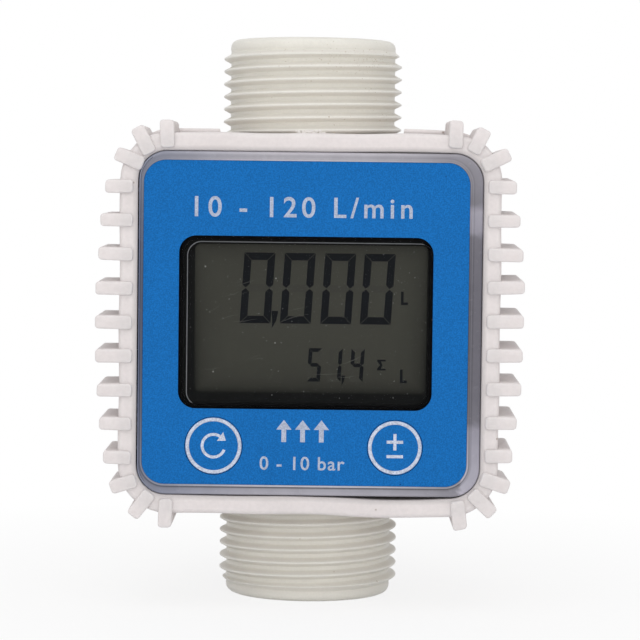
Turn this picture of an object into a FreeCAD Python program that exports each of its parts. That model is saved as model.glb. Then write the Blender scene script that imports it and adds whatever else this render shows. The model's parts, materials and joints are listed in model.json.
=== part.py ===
"""Turbine flow meter: threaded plastic body, square electronic head, ribbed rubber boot.

Millimetres. The flow axis is +Z and the origin is the centre of the lower (inlet) end face.
The display faces -Y, and the meter stands on its inlet end.
"""
import math
import os

import FreeCAD
import Part

Vec = FreeCAD.Vector
AXIS_X = Vec(1, 0, 0)
AXIS_Y = Vec(0, 1, 0)
AXIS_Z = Vec(0, 0, 1)
SIDES = (-1, 1)

# ---------------------------------------------------------------- driving dimensions
# flow path
overall_length = 102.0        # inlet face to outlet face
thread_diameter = 32.9        # major diameter of the G1 pipe thread, within its tolerance
lead_in_length = 2.0          # plain collar in front of the first thread
lead_in_depth = 1.25          # how far the collar lies under the thread's crests
end_round = 1.3
neck_diameter = 30.4          # plain neck between the thread and the housing
thread_to_boot = 0.1
port_diameter = 24.0
port_depth = 24.4             # to the step where a straightener's seat starts
seat_step = 0.3               # the seat's wall stands this much inside the port's
chamber_step = 0.5            # and the rotor chamber's inside the seat's, which stops the straighteners
chamber_length = 16.0
tube_wall = 1.3               # round the port, where the tube runs inside the housing

# housing block and battery bays
case_size = 60.8              # square, across X and Z
case_corner_r = 5.3
body_front_y = -13.8
body_back_y = 17.5
body_wall = 2.4
screw_post_r = 3.0
screw_post_inset = 5.0        # from the case's edge to a screw's axis
post_web = 2.9                # how far inside the tube's skin the bay's ribs start
cradle_z_offset = 13.0
cradle_thickness = 1.6
contact_wall = 1.6

# batteries, size AAA
cell_diameter = 10.5
cell_length = 44.5
cell_cap_r = 1.9
cell_end_r = 3.8              # flat negative end
cell_cap_height = 0.8
cell_edge = 0.4
cell_side_gap = 2.15          # from a cell to the bay's side wall
cell_cover_gap = 1.85         # from a cell to the cover's plate
cell_play = 0.2
contact_plate = 0.4
contact_gap = 0.55            # height of the sprung bump on a contact
contact_width = 3.4
contact_height = 7.0
contact_bump_r = 1.2
contact_bump_base_r = 1.6

# rear cover
cover_thickness = 3.0
cover_lip_height = 1.6
cover_lip_width = 1.4
cover_lip_play = 0.1
cover_edge_round = 0.8

# electronics case and what it holds, from the floor to the front
case_floor = 2.0
case_wall = 2.2
board_standoff = 2.0
board_thickness = 1.6
board_gap = 2.7               # from the board's edge to the case's wall
board_corner_r = 1.5
post_r = 2.0
post_inset = 3.1              # from the board's edge to a post's axis
post_to_strip = 1.0           # from a board screw's head to a contact strip
strip_height = 3.0
strip_width = 2.2
strip_inset = 0.6
lcd_thickness = 2.4
lcd_cover_side = 0.9          # how far the glass reaches behind the window's edge, each side
lcd_cover_end = 1.3           # and above and below
lcd_corner_r = 0.6
bezel_thickness = 0.6
bezel_border = 1.5            # how far the bezel shows inside the label's window, side to side
bezel_corner_r = 2.2

# front lens, label and window
lens_inset = 0.2              # the lens is this much smaller than the case all round
lens_thickness = 2.0
lens_skirt_height = 1.5
lens_skirt_width = 1.2
lens_skirt_play = 0.1
lens_edge_round = 0.5
label_side = 1.65             # lens border beside the label, at its mean
label_end = 1.75              # and above and below it
label_corner_r = 3.9
label_thickness = 0.3
label_recess = 0.4
label_play = 0.1
label_x = -0.7                # the label sits a little to the left
label_z = 0.1                 # and above the head's centre
title_band = 13.15            # label above the window
key_band = 13.35              # label below it
window_side = 6.25            # label beside it
window_corner_r = 3.0

# keys
key_spacing = 31.9
key_drop = 6.55               # from the window's lower edge to the keys' centres
key_edge = 0.1
reset_key_diameter = 10.1
calibrate_key_diameter = 9.7
key_travel = 0.5
key_gap = 0.08                # round the keytop, in the label
key_pocket_extra = 0.2
key_pocket_play = 0.15
plunger_r = 2.2
plunger_gap = 0.06
plunger_flange_r = 3.0
plunger_flange = 0.7
plunger_stop_gap = 0.05
guide_wall = 1.2
switch_size = 6.0
switch_height = 2.0
switch_cap_r = 1.6
switch_cap_height = 1.0
switch_gap = 0.05             # left between plunger and switch at full travel

# seals, one section for both
seal_width = 1.6
seal_depth = 1.0
seal_edge = 1.2               # from the edge of the case to the seal's groove
seal_play = 0.1

# screws
screw_r = 1.25
screw_hole_play = 0.2
screw_bite = 0.02             # radial room round a screw in its moulded hole
head_r = 2.1
head_height = 1.4
head_edge = 0.4
head_recess_play = 0.3
cross_length = 2.6
cross_width = 0.6
cross_depth = 0.7
cover_screw_length = 10.0
case_screw_length = 8.0
hole_extra = 1.0
board_screw_r = 0.9
board_screw_head_r = 1.7
board_screw_head = 1.0
board_screw_length = 3.2

# board parts
chip_size = 10.0
chip_thickness = 1.4
chip_to_crystal = 5.2
crystal_length = 9.0
crystal_width = 3.6
crystal_height = 1.5
crystal_corner_r = 0.5
crystal_to_resistors = 3.2
resistor_length = 2.0
resistor_width = 1.25
resistor_height = 0.6
resistor_count = 5
resistor_pitch = 4.0
resistors_to_strip = 0.5
sensor_length = 12.0
sensor_r = 0.8

# straighteners and rotor
straightener_length = 13.0
straightener_ring = 1.1
straightener_hub_r = 5.0
straightener_vanes = 6
straightener_vane = 1.2
nose_length = 5.0
nose_tip_r = 1.4
nose_waist_r = 3.75           # where the nose changes slope
nose_waist = 2.25             # in front of the vanes
straightener_play = 0.02
rotor_end_gap = 0.7           # from the hub to a bearing
rotor_hub_r = 4.8
rotor_tip_gap = 0.4
blade_count = 6
blade_thickness = 1.3
blade_sections = 5
blade_length = 11.0
blade_lead = 66.0             # length in which a blade makes a full turn
blade_root_sink = 0.6
hub_edge_round = 0.6
shaft_r = 1.0
shaft_running_gap = 0.03
shaft_end_gap = 0.3
bearing_r = 2.4
bearing_length = 4.0
bearing_floor = 0.8
bearing_stand = 0.3           # how far a bearing stands out towards the rotor
magnet_r = 1.3
magnet_length = 3.0
magnet_sink = 0.1
snap_ring_width = 1.2         # square section
snap_ring_groove = 0.6
snap_ring_gap_deg = 40.0
snap_ring_play = 0.05

# rubber boot
boot_wall = 3.0
boot_play = 0.05
boot_front_proud = 0.4        # lip over the lens
boot_edge_round = 0.8
boot_hook = 2.2               # how far its rear lip reaches over the cover
boot_hook_thickness = 1.6
boot_neck_play = 0.2
rim_to_thread = 1.2           # room in the rim for the end of a fitting on the thread
rim_step = 1.0
rim_width = 3.2
fin_depth = 16.4
fin_proud = 0.5
fin_thickness = 2.3
fin_inset = 0.8               # from the boot's opening to the inner end of a fin
fin_pitch = 5.95
fin_count = 9
fin_reach = 37.7              # from the head's centre to the tip of the middle fin
fin_tip_arc = 170.0
fin_tip_round = 0.7
fin_root_round = 0.5
corner_fin_reach = 9.9        # from the corner's centre
upright_fin_reach = 10.6
corner_fin_angles = (30.0, 60.0, 90.0)

# ---------------------------------------------------------------- derived places
head_z = overall_length / 2
thread_r = thread_diameter / 2
port_r = port_diameter / 2
neck_r = neck_diameter / 2
seat_r = port_r - seat_step
chamber_r = seat_r - chamber_step
tube_r = port_r + tube_wall
case_half = case_size / 2
bay_half = case_half - body_wall
tray_half = case_half - case_wall
screw_reach = case_half - screw_post_inset
cover_back_y = body_back_y + cover_thickness
cell_r = cell_diameter / 2
cell_x = bay_half - cell_side_gap - cell_r
cell_y = body_back_y - cell_cover_gap - cell_r

floor_y = body_front_y - case_floor
board_back_y = floor_y - board_standoff
board_front_y = board_back_y - board_thickness
lcd_back_y = board_front_y - strip_height
lcd_front_y = lcd_back_y - lcd_thickness
lens_back_y = lcd_front_y - bezel_thickness
lens_front_y = lens_back_y - lens_thickness
recess_floor_y = lens_front_y + label_recess
label_front_y = recess_floor_y - label_thickness

lens_size = case_size - 2 * lens_inset
lens_corner_r = case_corner_r - lens_inset
label_width = lens_size - 2 * label_side
label_height = lens_size - 2 * label_end
label_mid = (label_x, head_z + label_z)
window_width = label_width - 2 * window_side
window_height = label_height - title_band - key_band
window_low_z = head_z + label_z - label_height / 2 + key_band
window_mid_z = window_low_z + window_height / 2
window_mid = (label_x, window_mid_z)
key_mid_z = window_low_z - key_drop
key_z = key_mid_z - head_z
reset_x = label_x - key_spacing / 2
calibrate_x = label_x + key_spacing / 2
switch_top_y = board_front_y - switch_height - switch_cap_height
plunger_back_y = switch_top_y - key_travel - switch_gap
guide_back_y = plunger_back_y - plunger_flange - plunger_stop_gap

lcd_width = window_width + 2 * lcd_cover_side
lcd_height = window_height + 2 * lcd_cover_end
strip_reach = lcd_height / 2 - strip_inset - strip_width
board_half = tray_half - board_gap
post_x = board_half - post_inset
post_z = strip_reach - post_to_strip - board_screw_head_r
resistor_z = window_mid_z - head_z - strip_reach + resistors_to_strip + resistor_length / 2
crystal_z = resistor_z + resistor_length / 2 + crystal_to_resistors + crystal_width / 2
chip_z = crystal_z + crystal_width / 2 + chip_to_crystal + chip_size / 2

chamber_low_z = head_z - chamber_length / 2
shaft_half = chamber_length / 2 - bearing_stand + bearing_length - bearing_floor - shaft_end_gap
blade_tip_r = chamber_r - rotor_tip_gap
rotor_hub_half = chamber_length / 2 - bearing_stand - rotor_end_gap

boot_half = case_half + boot_play + boot_wall
boot_corner_r = case_corner_r + boot_play + boot_wall
boot_front_y = lens_front_y - boot_front_proud
boot_back_y = cover_back_y + boot_hook_thickness
fin_front_y = boot_front_y - fin_proud
rim_front_y = fin_front_y + fin_depth
opening_half = lens_size / 2 + boot_play
opening_corner_r = lens_corner_r + boot_play
corner_centre = boot_half - boot_corner_r

EVERY_CORNER = [(side_x, side_z) for side_x in SIDES for side_z in SIDES]

# ---------------------------------------------------------------- helpers
def is_along(edge, axis):
    """True for a straight edge that runs along the axis."""
    if edge.Curve.TypeId != "Part::GeomLine":
        return False
    return abs(edge.tangentAt(edge.FirstParameter).dot(axis)) > 0.999


def edges_at_y(shape, y):
    """Edges that lie in the plane at this Y."""
    return [e for e in shape.Edges if abs(e.BoundBox.YMin - y) < 1e-4 and abs(e.BoundBox.YMax - y) < 1e-4]


def rounded_block(width, height, corner_r, y_from, y_to, mid=(0.0, head_z)):
    """Rectangle on XZ with round corners, run along Y."""
    corner = Vec(mid[0] - width / 2, min(y_from, y_to), mid[1] - height / 2)
    block = Part.makeBox(width, abs(y_to - y_from), height, corner)
    return block.makeFillet(corner_r, [e for e in block.Edges if is_along(e, AXIS_Y)])


def square_block(size, corner_r, y_from, y_to):
    return rounded_block(size, size, corner_r, y_from, y_to)


def at_corners(reach_x, reach_z):
    """Four places (x, z), this far from the head's centre."""
    return [(side_x * reach_x, head_z + side_z * reach_z) for side_x, side_z in EVERY_CORNER]


def rod_y(radius, y_from, y_to, x, z):
    """Cylinder along Y."""
    return Part.makeCylinder(radius, abs(y_to - y_from), Vec(x, min(y_from, y_to), z), AXIS_Y)


def rod_z(radius, z_from, z_to, x=0.0, y=0.0):
    """Cylinder along Z."""
    return Part.makeCylinder(radius, abs(z_to - z_from), Vec(x, y, min(z_from, z_to)), AXIS_Z)


def revolve_z(profile):
    """Turn a closed (radius, z) outline round the flow axis."""
    points = [Vec(r, 0, z) for r, z in profile]
    face = Part.Face(Part.makePolygon(points + points[:1]))
    return face.revolve(Vec(0, 0, 0), AXIS_Z, 360)


def upside_down(shape):
    """The same piece at the outlet end: half a turn about X through the head's centre."""
    turned = shape.copy()
    turned.rotate(Vec(0, 0, head_z), AXIS_X, 180)
    return turned


def group(shapes):
    return Part.makeCompound(shapes)


def fuse_all(shapes):
    return shapes[0].multiFuse(shapes[1:]).removeSplitter()


def seal_ring(width, y_from, y_to, inset):
    """Square ring that follows the edge of the case at this inset."""
    outer = square_block(case_size - 2 * inset, case_corner_r - inset, y_from, y_to)
    inner_inset = inset + width
    inner = square_block(case_size - 2 * inner_inset, case_corner_r - inner_inset, y_from, y_to)
    return outer.cut(inner)


def screw(x, z, head_y, direction, radius, length, top_r, top_height):
    """Pan-head screw along Y: direction is the way its point goes, head_y the plane under the head."""
    shank = rod_y(radius, head_y, head_y + direction * length, x, z)
    top_y = head_y - direction * top_height
    head = rod_y(top_r, head_y, top_y, x, z)
    head = head.makeChamfer(head_edge, edges_at_y(head, top_y))
    slot_y = min(top_y, top_y + direction * cross_depth)
    for size_x, size_z in ((cross_length, cross_width), (cross_width, cross_length)):
        slot = Part.makeBox(size_x, cross_depth, size_z, Vec(x - size_x / 2, slot_y, z - size_z / 2))
        head = head.cut(slot)
    return shank.fuse(head)


# ---------------------------------------------------------------- body and flow path
def spigot():
    """Inlet end at its thread's major diameter, with the plain collar and rounded mouth."""
    collar_r = thread_r - lead_in_depth
    base_z = head_z - case_half
    thread_end_z = head_z - boot_half - thread_to_boot
    round_z = Part.makeCylinder(collar_r, lead_in_length + end_round, Vec(0, 0, 0), AXIS_Z)
    low_edges = [e for e in round_z.Edges if e.BoundBox.ZMax < 1e-4]
    collar = round_z.makeFillet(end_round, low_edges)
    slope_z = lead_in_length + lead_in_depth
    core = revolve_z([(0, lead_in_length), (collar_r, lead_in_length), (thread_r, slope_z),
                      (thread_r, thread_end_z), (neck_r, thread_end_z), (neck_r, base_z), (0, base_z)])
    return collar.fuse(core)


def battery_rod(radius, length, side):
    return rod_z(radius, head_z - length / 2, head_z + length / 2, side * cell_x, cell_y)


def bay_ribs(side):
    """Cradles under a cell and the two walls that carry its contacts."""
    ribs = []
    start = tube_r - post_web
    end_x = bay_half + body_wall / 2
    low_x = min(side * start, side * end_x)
    rib_front_y = body_front_y + body_wall / 2
    for end in SIDES:
        cradle = Part.makeBox(end_x - start, cell_y - rib_front_y, cradle_thickness,
                              Vec(low_x, rib_front_y, head_z + end * cradle_z_offset - cradle_thickness / 2))
        ribs.append(cradle.cut(battery_rod(cell_r + cell_play, cell_length, side)))
        near = cell_length / 2 + contact_gap + contact_plate
        wall_z = head_z + near if end > 0 else head_z - near - contact_wall
        depth = body_back_y - cover_lip_height - rib_front_y
        ribs.append(Part.makeBox(end_x - start, depth, contact_wall, Vec(low_x, rib_front_y, wall_z)))
    return ribs


def screw_posts(y_from, y_to, radius):
    return [rod_y(radius, y_from, y_to, x, z) for x, z in at_corners(screw_reach, screw_reach)]


def make_flow_tube():
    """Both threaded ends and the tube between them, with the stepped bore."""
    inlet = spigot()
    tube = rod_z(tube_r, head_z - case_half, head_z + case_half)
    tube = fuse_all([tube, inlet, upside_down(inlet)])
    for start, inward in ((0, 1), (overall_length, -1)):
        tube = tube.cut(rod_z(port_r, start, start + inward * port_depth))
        tube = tube.cut(rod_z(seat_r, start, start + inward * chamber_low_z))
    tube = tube.cut(rod_z(chamber_r, chamber_low_z, overall_length - chamber_low_z))
    groove = snap_groove()
    return tube.cut(groove).cut(upside_down(groove))


def make_battery_housing():
    """Block round the tube, open at the back for the two cells."""
    block = square_block(case_size, case_corner_r, body_front_y, body_back_y)
    bay_r = case_corner_r - body_wall
    hollow = square_block(2 * bay_half, bay_r, body_front_y + body_wall, body_back_y)
    posts = screw_posts(body_front_y, body_back_y, screw_post_r)
    lip_room = square_block(2 * bay_half, bay_r, body_back_y - cover_lip_height - cover_lip_play, body_back_y)
    housing = block.cut(hollow.cut(fuse_all(posts + bay_ribs(-1) + bay_ribs(1))))
    housing = housing.cut(lip_room.cut(fuse_all(posts)))
    housing = housing.cut(rod_z(tube_r, head_z - case_half, head_z + case_half))
    rear_end = cover_back_y - head_height - cover_screw_length - hole_extra
    front_end = floor_y + case_screw_length + hole_extra
    for y_from, y_to in ((body_back_y, rear_end), (body_front_y, front_end)):
        for hole in screw_posts(y_from, y_to, screw_r + screw_bite):
            housing = housing.cut(hole)
    return housing


def snap_groove():
    """Groove for the inlet's snap ring, just outside its straightener."""
    top = chamber_low_z - straightener_length
    low = top - snap_ring_width - snap_ring_play
    floor_r = seat_r + snap_ring_groove
    return revolve_z([(chamber_r, low), (floor_r, low), (floor_r, top), (chamber_r, top)])


def make_snap_ring():
    """Split spring ring of square section, half sunk in its groove."""
    outer_r = seat_r + snap_ring_groove - snap_ring_play
    inner_r = outer_r - snap_ring_width
    high = chamber_low_z - straightener_length - snap_ring_play / 2
    low = high - snap_ring_width
    corners = [Vec(inner_r, 0, low), Vec(outer_r, 0, low), Vec(outer_r, 0, high), Vec(inner_r, 0, high)]
    section = Part.Face(Part.makePolygon(corners + corners[:1]))
    ring = section.revolve(Vec(0, 0, 0), AXIS_Z, 360 - snap_ring_gap_deg)
    ring.rotate(Vec(0, 0, 0), AXIS_Z, snap_ring_gap_deg / 2)
    return ring


def make_straightener():
    """Inlet straightener: ring, vanes and a hub with a nose cone and a seat for its bearing."""
    top = chamber_low_z
    low = top - straightener_length
    outer_r = seat_r - straightener_play
    ring = rod_z(outer_r, low, top).cut(rod_z(outer_r - straightener_ring, low, top))
    hub = revolve_z([(0, low - nose_length), (nose_tip_r, low - nose_length),
                     (nose_waist_r, low - nose_waist),
                     (straightener_hub_r, low), (straightener_hub_r, top), (0, top)])
    pieces = [ring, hub]
    reach = outer_r - straightener_ring / 2
    for index in range(straightener_vanes):
        vane = Part.makeBox(reach, straightener_vane, straightener_length,
                            Vec(0, -straightener_vane / 2, low))
        vane.rotate(Vec(0, 0, 0), AXIS_Z, 360.0 / straightener_vanes * index)
        pieces.append(vane)
    whole = fuse_all(pieces)
    return whole.cut(rod_z(bearing_r, top + bearing_stand - bearing_length, top))


def make_bearing():
    """Cup bush with a blind hole for the shaft's end."""
    top = chamber_low_z + bearing_stand
    cup = rod_z(bearing_r, top - bearing_length, top)
    return cup.cut(rod_z(shaft_r + shaft_running_gap, top - bearing_length + bearing_floor, top))


def blade(index):
    """One helical blade, lofted straight between turned sections."""
    wires = []
    inner = rotor_hub_r - blade_root_sink
    half = blade_thickness / 2
    for step in range(blade_sections):
        rise = blade_length * (step / (blade_sections - 1) - 0.5)
        corners = [Vec(inner, -half, 0), Vec(blade_tip_r, -half, 0), Vec(blade_tip_r, half, 0),
                   Vec(inner, half, 0)]
        wire = Part.makePolygon(corners + corners[:1])
        wire.rotate(Vec(0, 0, 0), AXIS_Z, 360.0 * rise / blade_lead + 360.0 / blade_count * index)
        wire.translate(Vec(0, 0, head_z + rise))
        wires.append(wire)
    return Part.makeLoft(wires, True, True)


def magnet_rod(side, length):
    start = rotor_hub_r - magnet_sink - magnet_length
    return Part.makeCylinder(magnet_r, length, Vec(side * start, 0, head_z), Vec(side, 0, 0))


def make_rotor():
    half = rotor_hub_half
    hub = rod_z(rotor_hub_r, head_z - half, head_z + half)
    ends = [e for e in hub.Edges if e.Curve.TypeId == "Part::GeomCircle"]
    hub = hub.makeFillet(hub_edge_round, ends)
    blades = []
    for index in range(blade_count):
        turned = blade(index)
        turned.rotate(Vec(0, 0, 0), AXIS_Z, 180.0 / blade_count)
        blades.append(turned)
    rotor = fuse_all([hub] + blades)
    rotor = rotor.common(rod_z(blade_tip_r, head_z - half, head_z + half))
    rotor = rotor.cut(rod_z(shaft_r, head_z - half, head_z + half))
    for side in SIDES:
        rotor = rotor.cut(magnet_rod(side, magnet_length + 2 * magnet_sink))
    return rotor


# ---------------------------------------------------------------- batteries and rear cover
def make_battery(side, up):
    """AAA cell with its raised positive cap."""
    cell = battery_rod(cell_r, cell_length - 2 * cell_cap_height, side)
    rims = [e for e in cell.Edges if e.Curve.TypeId == "Part::GeomCircle"]
    cell = cell.makeChamfer(cell_edge, rims)
    x = side * cell_x
    for end in SIDES:
        radius = cell_cap_r if end == up else cell_end_r
        inner = head_z + end * (cell_length / 2 - cell_cap_height)
        cell = cell.fuse(rod_z(radius, inner, head_z + end * cell_length / 2, x, cell_y))
    return cell


def make_contacts():
    """A sprung plate with a bump at each end of both bays."""
    plates = []
    for side in SIDES:
        for end in SIDES:
            outer = cell_length / 2 + contact_gap + contact_plate
            low_z = outer - contact_plate
            start = head_z + low_z if end > 0 else head_z - outer
            plate = Part.makeBox(contact_width, contact_height, contact_plate,
                                 Vec(side * cell_x - contact_width / 2, cell_y - contact_height / 2, start))
            tip = Vec(side * cell_x, cell_y, head_z + end * low_z)
            bump = Part.makeCone(contact_bump_base_r, contact_bump_r, contact_gap, tip, Vec(0, 0, -end))
            plates.append(plate.fuse(bump))
    return group(plates)


def make_battery_cover():
    plate = square_block(case_size, case_corner_r, body_back_y, cover_back_y)
    plate = plate.makeFillet(cover_edge_round, edges_at_y(plate, cover_back_y))
    lip_front_y = body_back_y - cover_lip_height
    lip_outer = 2 * (bay_half - cover_lip_play)
    lip_r = case_corner_r - body_wall
    lip = square_block(lip_outer, lip_r, lip_front_y, body_back_y)
    lip = lip.cut(square_block(lip_outer - 2 * cover_lip_width, lip_r - cover_lip_width,
                               lip_front_y, body_back_y))
    for post in screw_posts(lip_front_y, body_back_y, screw_post_r + cover_lip_play):
        lip = lip.cut(post)
    lip = lip.cut(rod_z(tube_r + cover_lip_play, 0, overall_length))
    cover = plate.fuse(lip)
    cover = cover.cut(seal_ring(seal_width, body_back_y, body_back_y + seal_depth, seal_edge_inset()))
    head_y = cover_back_y - head_height
    for hole in screw_posts(body_back_y, cover_back_y, screw_r + screw_hole_play):
        cover = cover.cut(hole)
    for recess in screw_posts(head_y, cover_back_y, head_r + head_recess_play):
        cover = cover.cut(recess)
    return cover


def seal_edge_inset():
    """Middle of the body's wall: the groove is as far from the outside as from the bay."""
    return (body_wall - seal_width) / 2


def make_seal(y_from, y_to, inset):
    return seal_ring(seal_width - 2 * seal_play, y_from, y_to, inset + seal_play)


def make_screw_set(head_y, direction, length):
    return group([screw(x, z, head_y, direction, screw_r, length, head_r, head_height)
                  for x, z in at_corners(screw_reach, screw_reach)])


# ---------------------------------------------------------------- electronics
def make_electronics_case():
    tray = square_block(case_size, case_corner_r, lens_back_y, body_front_y)
    tray = tray.cut(square_block(2 * tray_half, case_corner_r - case_wall, lens_back_y, floor_y))
    for x, z in at_corners(post_x, post_z):
        tray = tray.fuse(rod_y(post_r, board_back_y, floor_y, x, z))
        tray = tray.cut(rod_y(board_screw_r + screw_bite, board_back_y,
                              board_front_y + board_screw_length + screw_bite, x, z))
    for hole in screw_posts(body_front_y, floor_y, screw_r + screw_hole_play):
        tray = tray.cut(hole)
    return tray.cut(seal_ring(seal_width, body_front_y - seal_depth, body_front_y, seal_edge))


def make_circuit_board():
    board = square_block(2 * board_half, board_corner_r, board_front_y, board_back_y)
    for x, z in at_corners(post_x, post_z):
        board = board.cut(rod_y(board_screw_r + screw_hole_play, board_front_y, board_back_y, x, z))
    return board


def make_board_screws():
    screws = []
    for x, z in at_corners(post_x, post_z):
        shank = rod_y(board_screw_r, board_front_y, board_front_y + board_screw_length, x, z)
        head = rod_y(board_screw_head_r, board_front_y - board_screw_head, board_front_y, x, z)
        screws.append(shank.fuse(head))
    return group(screws)


def board_box(width, height, depth, x, z):
    """A block that stands on the board's front, centred at x and z from the head's centre."""
    return Part.makeBox(width, depth, height,
                        Vec(x - width / 2, board_front_y - depth, head_z + z - height / 2))


def make_board_components():
    parts = [board_box(crystal_length, crystal_width, crystal_height, 0, crystal_z)]
    parts[0] = parts[0].makeFillet(crystal_corner_r, [e for e in parts[0].Edges if is_along(e, AXIS_Y)])
    for index in range(resistor_count):
        x = (index - (resistor_count - 1) / 2) * resistor_pitch
        parts.append(board_box(resistor_width, resistor_length, resistor_height, x, resistor_z))
    return group(parts)


def make_tact_switches():
    switches = []
    for x in (reset_x, calibrate_x):
        body = board_box(switch_size, switch_size, switch_height, x, key_z)
        switches.append(body.fuse(rod_y(switch_cap_r, switch_top_y, board_front_y, x, key_mid_z)))
    return group(switches)


def make_zebra_strips():
    strips = []
    for side in SIDES:
        z = window_mid_z + side * (strip_reach + strip_width / 2)
        corner = Vec(label_x - lcd_width / 2 + strip_inset, lcd_back_y, z - strip_width / 2)
        strips.append(Part.makeBox(lcd_width - 2 * strip_inset, strip_height, strip_width, corner))
    return group(strips)


def make_pickup_sensor():
    """Reed capsule on the case's floor, as near the rotor's magnets as it gets."""
    middle = Vec(-sensor_length / 2, floor_y - sensor_r, head_z)
    return Part.makeCylinder(sensor_r, sensor_length, middle, AXIS_X)


def make_lcd():
    return rounded_block(lcd_width, lcd_height, lcd_corner_r, lcd_front_y, lcd_back_y, window_mid)


def make_display_bezel():
    frame = rounded_block(lcd_width, lcd_height, lcd_corner_r, lens_back_y, lcd_front_y, window_mid)
    hole = rounded_block(window_width - bezel_border, window_height - bezel_border, bezel_corner_r,
                         lens_back_y, lcd_front_y, window_mid)
    return frame.cut(hole)


# ---------------------------------------------------------------- front
KEYS = {"reset": (reset_x, reset_key_diameter / 2), "calibrate": (calibrate_x, calibrate_key_diameter / 2)}


def make_front_lens():
    plate = square_block(lens_size, lens_corner_r, lens_front_y, lens_back_y)
    plate = plate.makeFillet(lens_edge_round, edges_at_y(plate, lens_front_y))
    skirt_outer = 2 * (tray_half - lens_skirt_play)
    skirt_r = case_corner_r - case_wall - lens_skirt_play
    skirt = square_block(skirt_outer, skirt_r, lens_back_y, lens_back_y + lens_skirt_height)
    skirt = skirt.cut(square_block(skirt_outer - 2 * lens_skirt_width, skirt_r - lens_skirt_width,
                                   lens_back_y, lens_back_y + lens_skirt_height))
    lens = plate.fuse(skirt)
    recess = rounded_block(label_width + 2 * label_play, label_height + 2 * label_play,
                           label_corner_r + label_play, lens_front_y, recess_floor_y, label_mid)
    lens = lens.cut(recess)
    for x, key_r in KEYS.values():
        guide_r = plunger_r + plunger_gap + guide_wall
        lens = lens.fuse(rod_y(guide_r, lens_back_y, guide_back_y, x, key_mid_z))
        pocket_y = recess_floor_y + key_travel + key_pocket_play
        lens = lens.cut(rod_y(key_r + key_pocket_extra, recess_floor_y, pocket_y, x, key_mid_z))
        lens = lens.cut(rod_y(plunger_r + plunger_gap, recess_floor_y, guide_back_y, x, key_mid_z))
    return lens


def make_face_label():
    label = rounded_block(label_width, label_height, label_corner_r, label_front_y, recess_floor_y,
                          label_mid)
    label = label.cut(rounded_block(window_width, window_height, window_corner_r, label_front_y,
                                    recess_floor_y, window_mid))
    for x, key_r in KEYS.values():
        label = label.cut(rod_y(key_r + key_gap, label_front_y, recess_floor_y, x, key_mid_z))
    return label


def make_key_top(x, key_r):
    top = rod_y(key_r, label_front_y, recess_floor_y, x, key_mid_z)
    return top.makeChamfer(key_edge, edges_at_y(top, label_front_y))


def make_plunger(x):
    stem = rod_y(plunger_r, recess_floor_y, plunger_back_y, x, key_mid_z)
    return stem.fuse(rod_y(plunger_flange_r, plunger_back_y - plunger_flange, plunger_back_y, x, key_mid_z))


# ---------------------------------------------------------------- rubber boot
def fin(length, x, z, angle):
    """A rib that starts at (x, z) from the head's centre and points along the angle from +X."""
    plate = Part.makeBox(length, fin_depth, fin_thickness, Vec(0, fin_front_y, -fin_thickness / 2))
    tip = [e for e in plate.Edges if is_along(e, AXIS_Y) and e.BoundBox.XMin > length / 2]
    plate = plate.makeFillet(fin_tip_round, tip)
    root = [e for e in plate.Edges if is_along(e, AXIS_Y) and e.BoundBox.XMax < 1e-4]
    plate = plate.makeFillet(fin_root_round, root)
    plate.rotate(Vec(0, 0, 0), AXIS_Y, -angle)
    plate.translate(Vec(x, 0, head_z + z))
    return plate


def side_fins(side):
    fins = []
    start = opening_half + fin_inset
    for index in range(fin_count):
        z = (index - (fin_count - 1) / 2) * fin_pitch
        tip = fin_reach - (fin_tip_arc - math.sqrt(fin_tip_arc ** 2 - z ** 2))
        fins.append(fin(tip - start, side * start, z, 0 if side > 0 else 180))
    return fins


def corner_fins(side_x, side_z):
    fins = []
    start = opening_corner_r + fin_inset
    for angle in corner_fin_angles:
        reach = upright_fin_reach if angle == 90.0 else corner_fin_reach
        along_x = side_x * math.cos(math.radians(angle))
        along_z = side_z * math.sin(math.radians(angle))
        x = side_x * corner_centre + along_x * start
        z = side_z * corner_centre + along_z * start
        fins.append(fin(reach - start, x, z, math.degrees(math.atan2(along_z, along_x))))
    return fins


def make_boot():
    sleeve = square_block(2 * boot_half, boot_corner_r, boot_front_y, boot_back_y)
    sleeve = sleeve.makeFillet(boot_edge_round,
                               edges_at_y(sleeve, boot_front_y) + edges_at_y(sleeve, boot_back_y))
    rim = square_block(2 * (boot_half + rim_step), boot_corner_r + rim_step,
                       rim_front_y, rim_front_y + rim_width)
    outside = [sleeve, rim]
    for side in SIDES:
        outside += side_fins(side)
    for side_x, side_z in EVERY_CORNER:
        outside += corner_fins(side_x, side_z)
    boot = fuse_all(outside)
    room = square_block(case_size + 2 * boot_play, case_corner_r + boot_play, lens_back_y, cover_back_y)
    mouth = square_block(2 * opening_half, opening_corner_r, fin_front_y, lens_back_y)
    back = square_block(case_size - 2 * boot_hook, case_corner_r - boot_hook, cover_back_y, boot_back_y)
    boot = boot.cut(room).cut(mouth).cut(back)
    for start, inward in ((0, 1), (overall_length, -1)):
        boot = boot.cut(rod_z(neck_r + boot_neck_play, start, head_z))
        boot = boot.cut(rod_z(thread_r + rim_to_thread, start, start + inward * (head_z - boot_half)))
    return boot


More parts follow.
